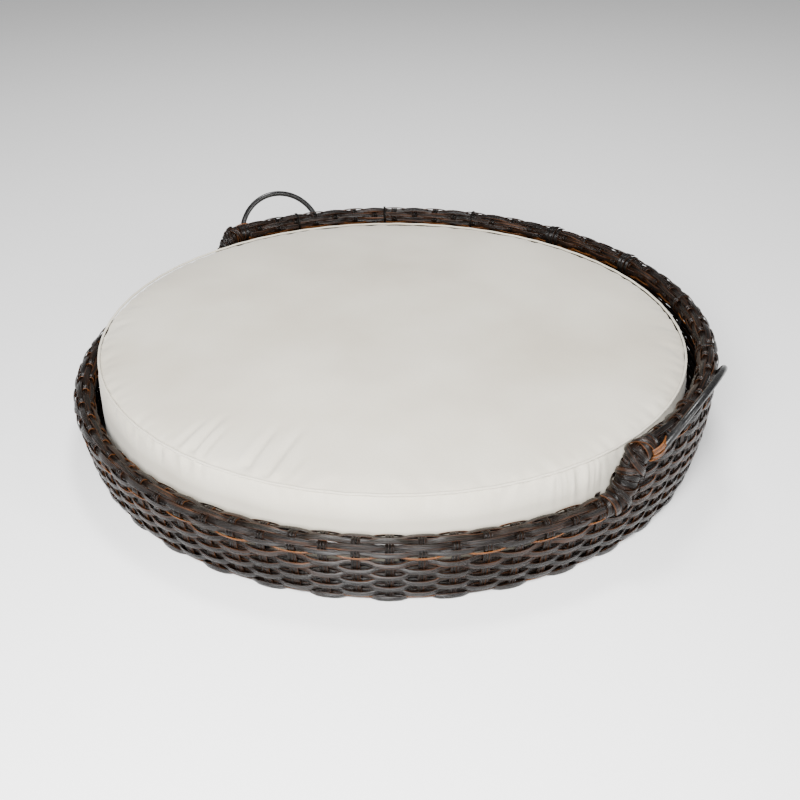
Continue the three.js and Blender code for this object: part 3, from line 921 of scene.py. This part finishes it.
@dataclass
class Weave:
    """The woven wall and rim: level rows that pass over and under groups of three upright strands."""

    shape: BasketShape
    weaver: Weaver
    strand_width: float = 0.0074
    strand_thickness: float = 0.0013
    row_pitch: float = 0.0075
    top_gap: float = 0.0129
    low_rows: int = 7
    raised_rows: int = 6
    wave: float = 0.0019
    droop: float = 0.0010
    squareness: float = 0.6
    rim_clearance: float = 0.8
    foot_height: float = 0.0036
    foot_inset: float = 0.0022
    foot_wave: float = 0.0016
    foot_droop: float = 0.0006
    foot_turn: float = 0.9
    steps_per_stake: int = 8
    stake_strand: float = 0.0027
    roll_rows: int = 9
    roll_first_polar: float = -33.5
    roll_polar_step: float = 36.0
    roll_middle: float = 0.0099
    roll_wave: float = 0.0013
    roll_width: float = 0.0064
    roll_radius_in_step: float = 0.0089
    brown_roll_rows: tuple[int, ...] = (0, 7, 8)
    # Offset and width of the dark strands behind the stakes, painted shade for the gaps between rows.
    painted_shade_offset: float = 0.0038
    backing_width: float = 0.0076

    def phase(self, angle: Array, row: int) -> Array:
        """Plus one where a row passes outside a stake and minus one where it passes inside."""
        turns = np.asarray(angle, float) / self.shape.pitch - 0.5 + row
        wave = np.cos(np.pi * turns)
        return np.sign(wave) * np.abs(wave) ** self.squareness

    def tone(self, row: int) -> float:
        """How brown a row is: a repeatable spread round the espresso ground."""
        return 0.5 + 0.5 * math.sin(12.9898 * (row + 1.7))

    def circle_angles(self) -> Array:
        """Sample angles once round the basket."""
        count = self.shape.stake_count * self.steps_per_stake
        return np.arange(count) * 360.0 / count

    def row_angles(self, row: int, z: float) -> Array:
        """Where a row of the wall runs: up to row 0 all round, above it round the back, clear of the rim.

        Args:
            row: The row's number.
            z: Its height.

        Returns:
            Angles in order.
        """
        angles = self.circle_angles()
        if row <= 0:
            return angles
        angles = np.sort((angles + 180) % 360 - 180)
        angles = angles[np.abs(angles) < self.shape.step_angle]
        return angles[self.shape.rim_gap(angles, z) > self.top_gap * self.rim_clearance]

    def wall_row(self, row: int) -> Rail:
        """One level row of the wall.

        Args:
            row: 0 for the highest that goes all round, and less for those below it.

        Returns:
            The row's rail.
        """
        z = self.shape.low_centre - self.top_gap + self.row_pitch * row
        angles = self.row_angles(row, z)
        swing = self.phase(angles, row)
        offset = self.shape.wall_offset + self.wave * swing
        points, normals = self.shape.on_wall(angles, z - self.droop * swing, offset)
        return Rail(points, normals, row <= 0, 0.28 * self.tone(row + 9))

    def foot_row(self) -> Rail:
        """The lowest row, which turns in under the wall and stands clear of the floor."""
        angles = self.circle_angles()
        swing = self.phase(angles, self.low_rows)
        offset = self.shape.wall_offset - self.foot_inset + self.foot_wave * swing
        points, normals = self.shape.on_wall(angles, self.foot_height + self.foot_droop * swing, offset)
        normals[..., 2] -= self.foot_turn
        normals /= np.linalg.norm(normals, axis=-1, keepdims=True)
        return Rail(points, normals, True, 0.3)

    def roll_row(self, row: int) -> Rail:
        """One row along the roll, passing over and under the stakes that wrap round it.

        Args:
            row: 0 for the lowest on the outside, then upwards and inwards.

        Returns:
            The row's rail.
        """
        angles = self.circle_angles()
        polar = self.roll_first_polar + self.roll_polar_step * row
        inside = self.shape.in_step(angles)
        radius = self.roll_middle + self.roll_wave * self.phase(angles, row + 1)
        radius = radius * (1 - inside) + self.roll_radius_in_step * inside
        points, normals = self.shape.on_roll(angles, polar, radius)
        brown = 0.75 if row in self.brown_roll_rows else 0.24 * self.tone(row + 20)
        return Rail(points, normals, True, brown)

    def painted_shade_row(self, row: int) -> Rail:
        """One dark level strand behind the stakes: painted shade that darkens the gap between two rows of the
        wall, where the basket's inside lies in shade.

        Args:
            row: The row of the wall that it lies just below.

        Returns:
            The strand's rail.
        """
        z = self.shape.low_centre - self.top_gap + self.row_pitch * (row - 0.5)
        z = min(z, self.shape.high_centre - self.top_gap * 0.9)
        points, normals = self.shape.on_wall(self.row_angles(row, z), z, self.painted_shade_offset)
        # Painted shade: near-black strands stand for the shaded inside seen through the weave. The highest one is
        # brown.
        brown = 1.0 if row > self.raised_rows else 0.1 * self.tone(row + 3)
        return Rail(points, normals, row <= 0, brown)

    def stake_rails(self, base: float, over_roll: bool, odd: int) -> list[Rail]:
        """The three strands of one stake at angle 0: out under the base ring, up the wall, round the roll.

        Args:
            base: An angle where the rim is as high as it is for these stakes.
            over_roll: Whether the strands go on round the roll.
            odd: 1 for every second stake, whose strands pass the rows the other way.

        Returns:
            Three rails.
        """
        shape = self.shape
        upper = float(shape.rim_height(np.array(base))) - 0.0115 if over_roll else shape.low_centre
        ring_polar = np.linspace(-160, -60, 6)
        heights = np.array([0.0046, 0.0085, *np.linspace(0.02, upper, 6)])
        offsets = np.full(8, shape.wall_offset) - np.array([0.0014, 0.0002, 0, 0, 0, 0, 0, 0])
        roll_polar = np.arange(-28, 250, 9.0)
        rails = []
        for lane in (-1, 0, 1):
            spread = math.degrees(lane * self.stake_strand / shape.ring_radius)
            parts = [
                shape.on_ring(np.full(6, base + spread), ring_polar, shape.rod_radius + 0.0012),
                shape.on_wall(np.full(8, base + spread), heights, offsets),
            ]
            if over_roll:
                turns = (roll_polar - self.roll_first_polar) / self.roll_polar_step + 1 + odd
                lift = self.roll_middle - self.roll_wave * np.cos(np.pi * turns) * 0.9
                parts.append(shape.on_roll(np.full(len(roll_polar), base + spread), roll_polar, lift))
            points = np.concatenate([part[0] for part in parts])
            outward = np.concatenate([part[1] for part in parts])
            turn = math.radians(-base)
            spin = np.array(
                [[math.cos(turn), -math.sin(turn), 0], [math.sin(turn), math.cos(turn), 0], [0, 0, 1]]
            )
            rails.append(Rail(points @ spin.T, outward @ spin.T, False, 0.12 + 0.1 * lane))
        return rails

    def stake_run(self, low: float, high: float, odd: int) -> tuple[int, float, float]:
        """Which stakes of one parity stand between two angles.

        Args:
            low: The first angle.
            high: The last angle.
            odd: The parity.

        Returns:
            Their number, first angle and step.
        """
        count = self.shape.stake_count
        places = [(k + 0.5) * self.shape.pitch for k in range(-count, count) if k % 2 == odd]
        angles = [angle for angle in places if low < angle < high]
        return len(angles), angles[0], 2 * self.shape.pitch

    def build(self) -> None:
        """Weaves the wall, the roll and the stakes."""
        lower = [self.wall_row(row) for row in range(1 - self.low_rows, 1)] + [self.foot_row()]
        upper = [self.wall_row(row) for row in range(1, self.raised_rows + 1)]
        size = (self.strand_width, self.strand_thickness)
        low_piece = self.weaver.strands("side_weave_rows", lower, *size)
        settle(low_piece, Body.BASKET, Slot.WICKER, "side_weave")
        high_piece = self.weaver.strands("raised_back_rows", upper, *size)
        settle(high_piece, Body.BASKET, Slot.WICKER)
        # Dark strands behind the stakes: painted shade in the gaps between the wall's rows.
        painted_shade_strands = [self.painted_shade_row(row) for row in range(1 - self.low_rows, self.raised_rows + 2)]
        painted_shade_piece = self.weaver.strands("backing_rows", painted_shade_strands, self.backing_width, 0.0010, 6)
        settle(painted_shade_piece, Body.BASKET, Slot.WICKER)
        roll = [self.roll_row(row) for row in range(self.roll_rows)]
        roll_piece = self.weaver.strands("rim_roll_rows", roll, self.roll_width, self.strand_thickness)
        settle(roll_piece, Body.BASKET, Slot.WICKER, "rim_wrap_front", "rim_wrap_back")
        strand = (self.stake_strand * 1.02, self.stake_strand * 0.62)
        start, end = self.shape.step_wrap_start, self.shape.step_wrap_end
        for label, base, over_roll, low_angle, high_angle in (
            ("back", 0.0, True, -start, start),
            ("front", 180.0, True, end, 360 - end),
            ("left_step", 180.0, False, start, end),
            ("right_step", 180.0, False, -end, -start),
        ):
            for odd in (0, 1):
                run = self.stake_run(low_angle, high_angle, odd)
                name = f"stakes_{label}_{'odd' if odd else 'even'}"
                piece = self.weaver.stakes(name, self.stake_rails(base, over_roll, odd), run, strand)
                settle(piece, Body.BASKET, Slot.WICKER)


@dataclass(frozen=True)
class Winding:
    """One strand wound round an S-bend."""

    radius: float
    pitch: float
    hand: int
    trim: float
    tone: float


@dataclass
class StepWraps:
    """Strand wound tightly round each S-bend, with open windings that cross it and make it bulky."""

    shape: BasketShape
    weaver: Weaver
    width: float = 0.0068
    samples_per_turn: int = 20
    windings: tuple[Winding, ...] = (
        Winding(radius=0.0106, pitch=0.0064, hand=1, trim=-0.9, tone=0.10),
        Winding(radius=0.0124, pitch=0.0230, hand=-1, trim=0.2, tone=0.30),
        Winding(radius=0.0136, pitch=0.0310, hand=1, trim=0.6, tone=0.16),
    )
    band_tones: tuple[float, ...] = (0.95, 0.7, 1.0)
    band_before: float = 2.2
    band_after: float = 1.6
    band_polar: tuple[float, float] = (28.0, 4.0)
    band_spacing: float = 33.0
    band_radius: float = 0.0122
    band_bulge: float = 0.0026

    def wound(self, side: int, kind: Winding) -> Rail:
        """One helix round the rim along the whole S-bend.

        Args:
            side: 1 for the left S-bend, -1 for the right.
            kind: Its sizes.

        Returns:
            The winding's rail.
        """
        start, end = self.shape.step_wrap_start + kind.trim, self.shape.step_wrap_end - kind.trim
        fine = np.linspace(start, end, 400)
        middle = self.shape.rim_frames(fine * side)[0]
        length = np.concatenate([[0.0], np.cumsum(np.linalg.norm(np.diff(middle, axis=0), axis=1))])
        count = int(length[-1] / kind.pitch * self.samples_per_turn)
        along = np.linspace(0, length[-1], count)
        angle = np.interp(along, length, fine) * side
        polar = -60 + 360 * kind.hand * side * along / kind.pitch
        points, normals = self.shape.on_roll(angle, polar, kind.radius)
        return Rail(points, normals, False, kind.tone)

    def strand_ends(self, side: int) -> list[Rail]:
        """Browner strand ends laid side by side across the outside of the S-bend's top, under the handle.

        Args:
            side: 1 for the left S-bend, -1 for the right.

        Returns:
            One rail for each strand end.
        """
        rails = []
        count = 14
        start = self.shape.step_wrap_start
        for lane, tone in enumerate(self.band_tones):
            angle = np.linspace(start - self.band_before, start + self.band_after, count) * side
            polar = np.linspace(*self.band_polar, count) - self.band_spacing * lane
            radius = self.band_radius + self.band_bulge * np.sin(np.linspace(0, math.pi, count))
            points, normals = self.shape.on_roll(angle, polar, radius)
            rails.append(Rail(points, normals, False, tone))
        return rails

    def build(self) -> None:
        """Winds both S-bends."""
        for side, label in ((1, "left"), (-1, "right")):
            rails = [self.wound(side, kind) for kind in self.windings] + self.strand_ends(side)
            piece = self.weaver.strands(f"step_winding_{label}", rails, self.width, 0.0015)
            settle(piece, Body.BASKET, Slot.WICKER, f"step_wrap_{label}")


@dataclass
class PostWraps:
    """Dark strand on the raised back's posts: thick windings on four, one tie over the roll on the rest."""

    shape: BasketShape
    weaver: Weaver
    width: float = 0.0066
    pitch: float = 0.0062
    tie_radius: float = 0.0124
    tie_width: float = 0.0034
    tie_polar: tuple[float, float] = (62.0, 292.0)
    thick_lanes: tuple[float, ...] = (-1.0, 0.0, 1.0)
    lane_rise: float = 0.001
    ring_clearance: float = 0.008
    rim_clearance: float = 0.012
    outer_reach: float = 0.0036
    inner_reach: float = 0.0062
    side_reach: float = 0.0052

    def post_angles(self) -> list[float]:
        """Where the posts of the raised back stand, worked out from the frame."""
        angles = []
        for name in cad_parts:
            if name.startswith("post_"):
                low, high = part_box(name)
                angle = math.degrees(math.atan2(-(low[0] + high[0]) / 2, (low[1] + high[1]) / 2))
                if abs(angle) < self.shape.step_angle:
                    angles.append(angle)
        return angles

    def wound(self, angle: float) -> Rail:
        """A close winding up one post, fuller towards the inside of the basket.

        Args:
            angle: The post's angle.

        Returns:
            The winding's rail.
        """
        bottom = self.shape.ring_height + self.ring_clearance
        top = self.shape.high_centre - self.rim_clearance
        count = int((top - bottom) / self.pitch * 16)
        climb = np.linspace(bottom, top, count)
        turn = np.linspace(0, 2 * math.pi * (top - bottom) / self.pitch, count)
        out = ring_xy(np.full(count, angle))
        side = ring_xy(np.full(count, angle + 90.0))
        reach = np.where(np.cos(turn) > 0, self.outer_reach, self.inner_reach) * np.cos(turn)
        sweep = self.side_reach * np.sin(turn)
        points = out * (self.shape.wall_radius(climb) + reach)[:, None] + side * sweep[:, None]
        points[:, 2] = climb
        normals = out * np.cos(turn)[:, None] + side * np.sin(turn)[:, None]
        return Rail(points, normals, False, 0.08)

    def tie(self, angle: float, radius: float) -> Rail:
        """One strand over the inner side of the roll, from its crown to its underside.

        Args:
            angle: Where it crosses the roll.
            radius: Its distance from the rim's centre line.

        Returns:
            The tie's rail.
        """
        count = 26
        polar = np.linspace(*self.tie_polar, count)
        points, normals = self.shape.on_roll(np.full(count, angle), polar, radius)
        return Rail(points, normals, False, 0.05)

    def build(self) -> None:
        """Winds the four thick posts and ties the others."""
        angles = self.post_angles()
        ends = (min(abs(a) for a in angles), max(abs(a) for a in angles))
        thick = [a for a in angles if min(abs(abs(a) - end) for end in ends) < 0.5]
        thin = [a for a in angles if a not in thick]
        spread = math.degrees(self.width / self.shape.high_radius)
        rails = [self.wound(a) for a in thick]
        for angle in (a for a in thick if abs(a) < 45):
            for lane in self.thick_lanes:
                radius = self.tie_radius + self.lane_rise * (1 - abs(lane))
                rails.append(self.tie(angle + lane * spread, radius))
        piece = self.weaver.strands("post_windings", rails, self.width, 0.0014)
        settle(piece, Body.BASKET, Slot.WICKER)
        ties = [self.tie(a, self.tie_radius) for a in thin]
        settle(self.weaver.strands("post_ties", ties, self.tie_width, 0.0016), Body.BASKET, Slot.WICKER)


@dataclass
class WovenFloor:
    """The open weave under the cushion: flat strands crossing over and under each other."""

    weaver: Weaver
    pitch: float = 0.017
    width: float = 0.009
    wave: float = 0.0010

    def build(self) -> None:
        """Weaves the floor inside the CAD floor's disc."""
        low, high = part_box("floor_weave")
        radius = high[0] - 0.001
        middle = (low[2] + high[2]) / 2
        count = int(radius / self.pitch)
        for axis, label in ((0, "along"), (1, "across")):
            rails = []
            for line in range(-count, count + 1):
                offset = line * self.pitch
                half = math.sqrt(max(radius**2 - (abs(offset) + self.width / 2) ** 2, 0))
                if half < self.pitch:
                    continue
                run = np.linspace(-half, half, int(2 * half / self.pitch * 4))
                turns = run / self.pitch + line + axis
                points = np.zeros((len(run), 3))
                points[:, 1 - axis] = run
                points[:, axis] = offset
                points[:, 2] = middle + self.wave * np.cos(np.pi * turns)
                upward = np.tile([0.0, 0.0, 1.0], (len(run), 1))
                rails.append(Rail(points, upward, False, 0.2 + 0.1 * (line % 3)))
            piece = self.weaver.strands(f"floor_strands_{label}", rails, self.width, 0.0013, 6)
            settle(piece, Body.BASKET, Slot.WICKER, *(["floor_weave"] if axis == 0 else []))


@dataclass
class SteelFrame:
    """The coated steel under the weave, and the two bare bow handles."""

    shape: BasketShape
    coat: bpy.types.Material
    weaver: Weaver
    rod_radius: float = 0.0035
    front_foot: float = 85.35
    left_span: float = 0.110
    right_span: float = 0.168
    rise: float = 0.041
    lean: float = math.radians(26)
    tube_radius: float = 0.008
    gap: float = 0.0003

    def bow(self, side: int, span: float) -> Rail:
        """The arc of one handle, from its back foot to its front foot.

        Args:
            side: 1 for the left handle, -1 for the right.
            span: Between its feet.

        Returns:
            The rod's rail.
        """
        reach = self.shape.high_radius + self.tube_radius + self.rod_radius + self.gap
        spread = math.degrees(math.asin(span / 2 / reach))
        middle_angle = self.front_foot - spread
        feet = []
        for turn in (-spread, spread):
            foot = ring_xy(np.array(side * (middle_angle + turn))) * reach
            foot[2] = self.shape.high_centre
            feet.append(foot)
        middle = (feet[0] + feet[1]) / 2
        half = span / 2
        along = (feet[1] - feet[0]) / span
        up = math.sin(self.lean) * ring_xy(np.array(side * middle_angle))
        up[2] = math.cos(self.lean)
        radius = (half**2 + self.rise**2) / (2 * self.rise)
        depth = radius - self.rise
        limit = math.atan2(half, depth)
        turn = np.linspace(-limit, limit, 60)[:, None]
        outward = np.sin(turn) * along + np.cos(turn) * up
        return Rail(middle + radius * outward - depth * up, outward, False, 0.0)

    def build(self) -> None:
        """Bends the handles and coats every steel node of the frame."""
        for side, label, span in ((1, "left", self.left_span), (-1, "right", self.right_span)):
            piece = rails_object(f"bow_handle_{label}", [self.bow(side, span)])
            width = 2 * self.rod_radius
            bake_tree(piece, self.weaver.sweep, Width=width, Thickness=width, Sides=18, Material=self.coat)
            settle(piece, Body.BASKET, Slot.STEEL, f"handle_{label}")
        for name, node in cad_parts.items():
            if name.startswith(("post_", "base_ring", "floor_bar", "rim_tube")):
                dress(node, self.coat)


def dress(thing: bpy.types.Object, material: bpy.types.Material) -> None:
    """Puts one material in every slot of an object.

    Args:
        thing: The object.
        material: Its finish.
    """
    if not thing.material_slots:
        thing.data.materials.append(material)
    for place in thing.material_slots:
        place.material = material


# ---- Cushion ----


@dataclass(frozen=True)
class Crease:
    """One soft crease that runs in over the top panel from the seam."""

    angle: float
    turn: float
    inner: float
    depth: float
    width: float


@dataclass
class Cushion:
    """The round boxed cushion: crowned top, upright boxing, a raised seam round both edges."""

    cloth: bpy.types.Material
    weaver: Weaver
    voxel: float = 0.0055
    pressure: float = 4.0
    swell: float = 0.003
    ease: float = 0.02
    frames: int = 20
    mass: float = 0.15
    tension: float = 6.0
    shear: float = 2.0
    bending: float = 0.2
    seam_radius: float = 0.0013
    welt_stand: float = -0.0004
    seam_grip: float = 0.006
    window_depth: float = 0.0022
    gather: float = 0.0011
    creases: tuple[Crease, ...] = (
        Crease(angle=-165.2, turn=-3.2, inner=0.255, depth=0.0031, width=0.0042),
        Crease(angle=-162.9, turn=-2.4, inner=0.268, depth=0.0019, width=0.0038),
        Crease(angle=-168.4, turn=-2.0, inner=0.275, depth=0.0020, width=0.0036),
        Crease(angle=-154.6, turn=-1.2, inner=0.243, depth=0.0030, width=0.0044),
        Crease(angle=-150.8, turn=0.6, inner=0.238, depth=0.0032, width=0.0046),
        Crease(angle=-147.5, turn=1.2, inner=0.280, depth=0.0013, width=0.0040),
    )

    def __post_init__(self) -> None:
        """Reads the cushion's place from the frame."""
        low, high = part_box("cushion_boxing")
        self.radius = high[0]
        self.seam_height = high[2]
        self.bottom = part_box("cushion_bottom_panel")[0][2]
        self.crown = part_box("cushion_top_panel")[1][2]
        self.tapes = (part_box("zip_tape_lower"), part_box("zip_tape_upper"))

    def profile(self) -> list[tuple[float, float]]:
        """Radius and height of the stuffed form from the middle of its underside to the top of its crown."""
        edge = self.radius - self.swell
        seam = self.seam_height - 0.001
        rise = self.crown - 0.8 * self.swell - seam
        shares = [math.sin(math.pi / 2 * i / 16) for i in range(15, 0, -1)]
        top = [(edge * share, seam + rise * (1 - share**3)) for share in shares]
        side = [(edge, self.bottom + (seam - self.bottom) * i / 8) for i in range(9)]
        floor = [(edge * i / 10, self.bottom) for i in range(10)]
        return floor + side + top + [(0.0, seam + rise)]

    def form(self) -> bpy.types.Object:
        """Turns the profile to a closed form."""
        build = bmesh.new()
        segments = 160
        rings = []
        for radius, height in self.profile():
            if radius == 0:
                rings.append([build.verts.new((0, 0, height))])
                continue
            turns = [2 * math.pi * i / segments for i in range(segments)]
            rings.append([build.verts.new((radius * math.cos(t), radius * math.sin(t), height)) for t in turns])
        for lower, upper in zip(rings, rings[1:]):
            for i in range(segments):
                j = (i + 1) % segments
                corners = [lower[k % len(lower)] for k in (i, j)] + [upper[k % len(upper)] for k in (j, i)]
                build.faces.new(list(dict.fromkeys(corners)))
        bmesh.ops.recalc_face_normals(build, faces=build.faces)
        mesh = bpy.data.meshes.new("cushion_cover")
        build.to_mesh(mesh)
        build.free()
        thing = bpy.data.objects.new("cushion_cover", mesh)
        bpy.context.scene.collection.objects.link(thing)
        return thing

    def seam_share(self, points: Array) -> Array:
        """How firmly the stitching holds each point.

        Args:
            points: Points of the cover.

        Returns:
            1 on the seams, 0 away from them.
        """
        radius = np.hypot(points[:, 0], points[:, 1])
        edge = self.radius - self.swell
        top = np.hypot(radius - edge, points[:, 2] - self.seam_height + 0.001)
        foot = np.hypot(radius - edge, points[:, 2] - self.bottom)
        return 1 - smooth(np.minimum(top, foot) / self.seam_grip)

    def inflate(self, thing: bpy.types.Object) -> None:
        """Blows the cover up as cloth between its seams and keeps a capped share of the movement.

        Args:
            thing: The closed form, whose mesh is replaced.
        """
        start = vertices(thing.data)
        grip = thing.vertex_groups.new(name="seams")
        for index, share in enumerate(self.seam_share(start)):
            if share > 0:
                grip.add([index], float(share), "REPLACE")
        cloth = thing.modifiers.new("cloth", "CLOTH")
        cloth.settings.quality = 4
        cloth.settings.use_pressure = True
        cloth.settings.uniform_pressure_force = self.pressure
        cloth.settings.vertex_group_mass = grip.name
        cloth.settings.mass = self.mass
        cloth.settings.tension_stiffness = self.tension
        cloth.settings.shear_stiffness = self.shear
        cloth.settings.bending_stiffness = self.bending
        cloth.settings.shrink_min = -self.ease
        cloth.settings.effector_weights.gravity = 0
        cloth.collision_settings.use_collision = False
        cloth.point_cache.frame_start = 1
        cloth.point_cache.frame_end = self.frames
        for step in range(1, self.frames + 1):
            bpy.context.scene.frame_set(step)
        bake_modifiers(thing)
        thing.vertex_groups.clear()
        moved = vertices(thing.data) - start
        reach = np.linalg.norm(moved, axis=1, keepdims=True)
        capped = self.swell * np.tanh(reach / self.swell)
        set_vertices(thing.data, start + moved * capped / np.maximum(reach, 1e-9))
        bpy.context.scene.frame_set(1)

    def crease_height(self, angle: Array, radius: Array) -> Array:
        """Rise and fall of the top panel where creases run in from the seam.

        Args:
            angle: Degrees round the cushion.
            radius: Distance from its middle.

        Returns:
            Heights to add.
        """
        height = np.zeros_like(angle)
        for crease in self.creases:
            share = np.clip((self.radius - radius) / (self.radius - crease.inner), 0, 1)
            off = (angle - crease.angle - crease.turn * share + 180) % 360 - 180
            side = np.radians(off) * radius / crease.width
            window = smooth(share / 0.12) * smooth((1 - share) / 0.55)
            groove = np.exp(-(side**2))
            ridges = 0.7 * np.exp(-((side - 1.7) ** 2)) + 0.35 * np.exp(-((side + 1.8) ** 2))
            height += crease.depth * window * (ridges - groove)
        return height

    def boxing_ripple(self, angle: Array, z: Array) -> Array:
        """In and out movement of the boxing: gathers under the seam, puckers at one place, and slack below.

        Args:
            angle: Degrees round the cushion.
            z: Height.

        Returns:
            Distances outwards.
        """
        below = self.seam_height - z
        turn = np.radians(angle)
        fine = np.sin(turn * 118 + 1.3 * np.sin(turn * 31))
        near_seam = np.exp(-((below - 0.007) ** 2) / (2 * 0.006**2))
        corner = np.exp(-(((angle + 167) / 6.5) ** 2))
        gathers = self.gather * fine * near_seam * (0.12 + 0.9 * corner)
        pucker = np.sin(turn * 205 + 2.2 * np.sin(turn * 57) + 40 * z)
        place = np.exp(-(((angle + 97.5) / 5.5) ** 2)) * np.exp(-(((below - 0.016) / 0.018) ** 2))
        slack = np.sin(turn * 23 + 60 * z) * np.exp(-(((below - 0.03) / 0.02) ** 2))
        return gathers + 1.5 * self.gather * pucker * place + 0.35 * self.gather * slack

    def finish_surface(self, mesh: bpy.types.Mesh) -> None:
        """Adds creases, gathers and the recess that the zip's tapes lie in.

        Args:
            mesh: The cover, whose points are moved.
        """
        points = vertices(mesh)
        radius = np.hypot(points[:, 0], points[:, 1])
        angle = np.degrees(np.arctan2(-points[:, 0], points[:, 1]))
        on_top = smooth((points[:, 2] - self.seam_height) / 0.002)
        on_side = smooth((radius - self.radius + 0.02) / 0.012) * (1 - on_top)
        points[:, 2] += on_top * self.crease_height(angle, radius)
        side = radius + on_side * self.boxing_ripple(angle, points[:, 2])
        (low, _), (_, high) = self.tapes
        span = math.degrees(math.asin(high[0] / self.radius))
        middle, half = (low[2] + high[2]) / 2, (high[2] - low[2]) / 2
        beside = 1 - smooth((np.abs(angle) - span - 0.3) / 0.5)
        level = 1 - smooth((np.abs(points[:, 2] - middle) - half - 0.0005) / 0.003)
        recess = beside * level
        margin = 0.0006
        limit = self.radius - margin - self.window_depth * recess
        back = 1 - smooth((np.abs(angle) - span - 3) / 4)
        limit = np.where(back * on_side > 0.5, limit, self.radius + margin)
        side = np.minimum(side, limit)
        scale = side / np.maximum(radius, 1e-6)
        points[:, 0] *= scale
        points[:, 1] *= scale
        points[:, 2] = np.maximum(points[:, 2], self.bottom)
        set_vertices(mesh, points)

    def seams(self) -> bpy.types.Object:
        """The two welted seams, as closed rings of cloth-covered cord."""
        rails = []
        for height in (self.seam_height, self.bottom + 0.003):
            angle = np.arange(720) * 0.5
            points = ring_xy(angle) * (self.radius - self.swell + self.welt_stand)
            points[:, 2] = height + 0.0002 * np.sin(np.radians(angle) * 61)
            rails.append(Rail(points, ring_xy(angle), True, 0.0))
        thing = rails_object("cushion_seams", rails)
        width = 2 * self.seam_radius
        return bake_tree(
            thing, self.weaver.sweep, Width=width, Thickness=width, Sides=8, Material=self.cloth
        )

    def build(self) -> None:
        """Stuffs, seams and dresses the cushion."""
        thing = self.form()
        remesh = thing.modifiers.new("even_mesh", "REMESH")
        remesh.mode = "VOXEL"
        remesh.voxel_size = self.voxel
        bake_modifiers(thing)
        self.inflate(thing)
        thing.modifiers.new("finer", "SUBSURF").levels = 1
        bake_modifiers(thing)
        self.finish_surface(thing.data)
        thing.data.materials.clear()
        thing.data.materials.append(self.cloth)
        thing.data.shade_smooth()
        settle(
            thing,
            Body.CUSHION,
            Slot.CLOTH,
            "cushion_top_panel",
            "cushion_bottom_panel",
            "cushion_boxing",
            "cushion_core",
        )
        settle(self.seams(), Body.CUSHION, Slot.CLOTH)


# ---- Studio ----


@dataclass
class Studio:
    """Pale floor, soft light and the camera."""

    azimuth: float = math.radians(50.2)
    elevation: float = math.radians(30.97)
    distance: float = 1.255
    lens: float = 47.07
    shift: tuple[float, float] = (0.0095, 0.0096)

    def build(self) -> None:
        """Sets the floor, the lights and the camera."""
        self.floor()
        self.lights()
        self.camera()

    def floor(self) -> None:
        """A wide pale floor."""
        material, tree, shader = new_material("pale_paper_floor")
        shader.inputs["Base Color"].default_value = linear("#fdfdfd")
        shader.inputs["Roughness"].default_value = 0.9
        mesh = bpy.data.meshes.new("studio_floor")
        size = 30.0
        corners = [(x * size, y * size, 0) for x, y in ((-1, -1), (1, -1), (1, 1), (-1, 1))]
        mesh.from_pydata(corners, [], [(0, 1, 2, 3)])
        mesh.materials.append(material)
        thing = bpy.data.objects.new("studio_floor", mesh)
        bpy.context.scene.collection.objects.link(thing)

    def lights(self) -> None:
        """A dim white surround, a key at the right front, one lamp high up and a weak one at the right."""
        world = bpy.data.worlds.new("white_surround")
        world.use_nodes = True
        world.node_tree.nodes.clear()
        sky = add_node(world.node_tree, "ShaderNodeBackground", Color=linear("#ffffff"), Strength=0.34)
        add_node(world.node_tree, "ShaderNodeOutputWorld", Surface=sky.outputs[0])
        bpy.context.scene.world = world
        for name, place, size, power in (
            ("key_light", (0.85, -0.95, 0.85), 0.6, 66.0),
            ("top_light", (-0.5, 0.4, 2.4), 0.6, 44.0),
            ("right_light", (1.9, 0.5, 0.9), 0.4, 14.0),
        ):
            lamp = bpy.data.lights.new(name, "AREA")
            lamp.size = size
            lamp.energy = power
            thing = bpy.data.objects.new(name, lamp)
            thing.location = place
            thing.rotation_euler = (-Vector(place)).to_track_quat("-Z", "Y").to_euler()
            bpy.context.scene.collection.objects.link(thing)

    def camera(self) -> None:
        """The view from the front left of the basket's right side, looking down a third of a right angle."""
        lens = bpy.data.cameras.new("camera")
        lens.lens = self.lens
        lens.sensor_width = 36.0
        lens.shift_x, lens.shift_y = self.shift
        lens.clip_end = 100.0
        thing = bpy.data.objects.new("camera", lens)
        flat = math.cos(self.elevation)
        direction = Vector(
            (math.sin(self.azimuth) * flat, -math.cos(self.azimuth) * flat, math.sin(self.elevation))
        )
        thing.location = direction * self.distance
        thing.rotation_euler = (-direction).to_track_quat("-Z", "Y").to_euler()
        bpy.context.scene.collection.objects.link(thing)
        bpy.context.scene.camera = thing


def main() -> None:
    """Builds the studio, the basket and the cushion."""
    finishes = Finishes()
    shape = BasketShape()
    weaver = Weaver(finishes.strand)
    Studio().build()
    Weave(shape, weaver).build()
    StepWraps(shape, weaver).build()
    PostWraps(shape, weaver).build()
    WovenFloor(weaver).build()
    SteelFrame(shape, finishes.coat, weaver).build()
    for index in range(1, 5):
        dress(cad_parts[f"glide_{index}"], finishes.plastic)
    Cushion(finishes.cloth, weaver).build()
    for name, material in (
        ("zip_tape_upper", finishes.tape),
        ("zip_tape_lower", finishes.tape),
        ("zip_chain", finishes.coil),
        ("zip_slider", finishes.nickel),
        ("zip_pull", finishes.nickel),
    ):
        dress(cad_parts[name], material)


if __name__ == "__main__":
    main()
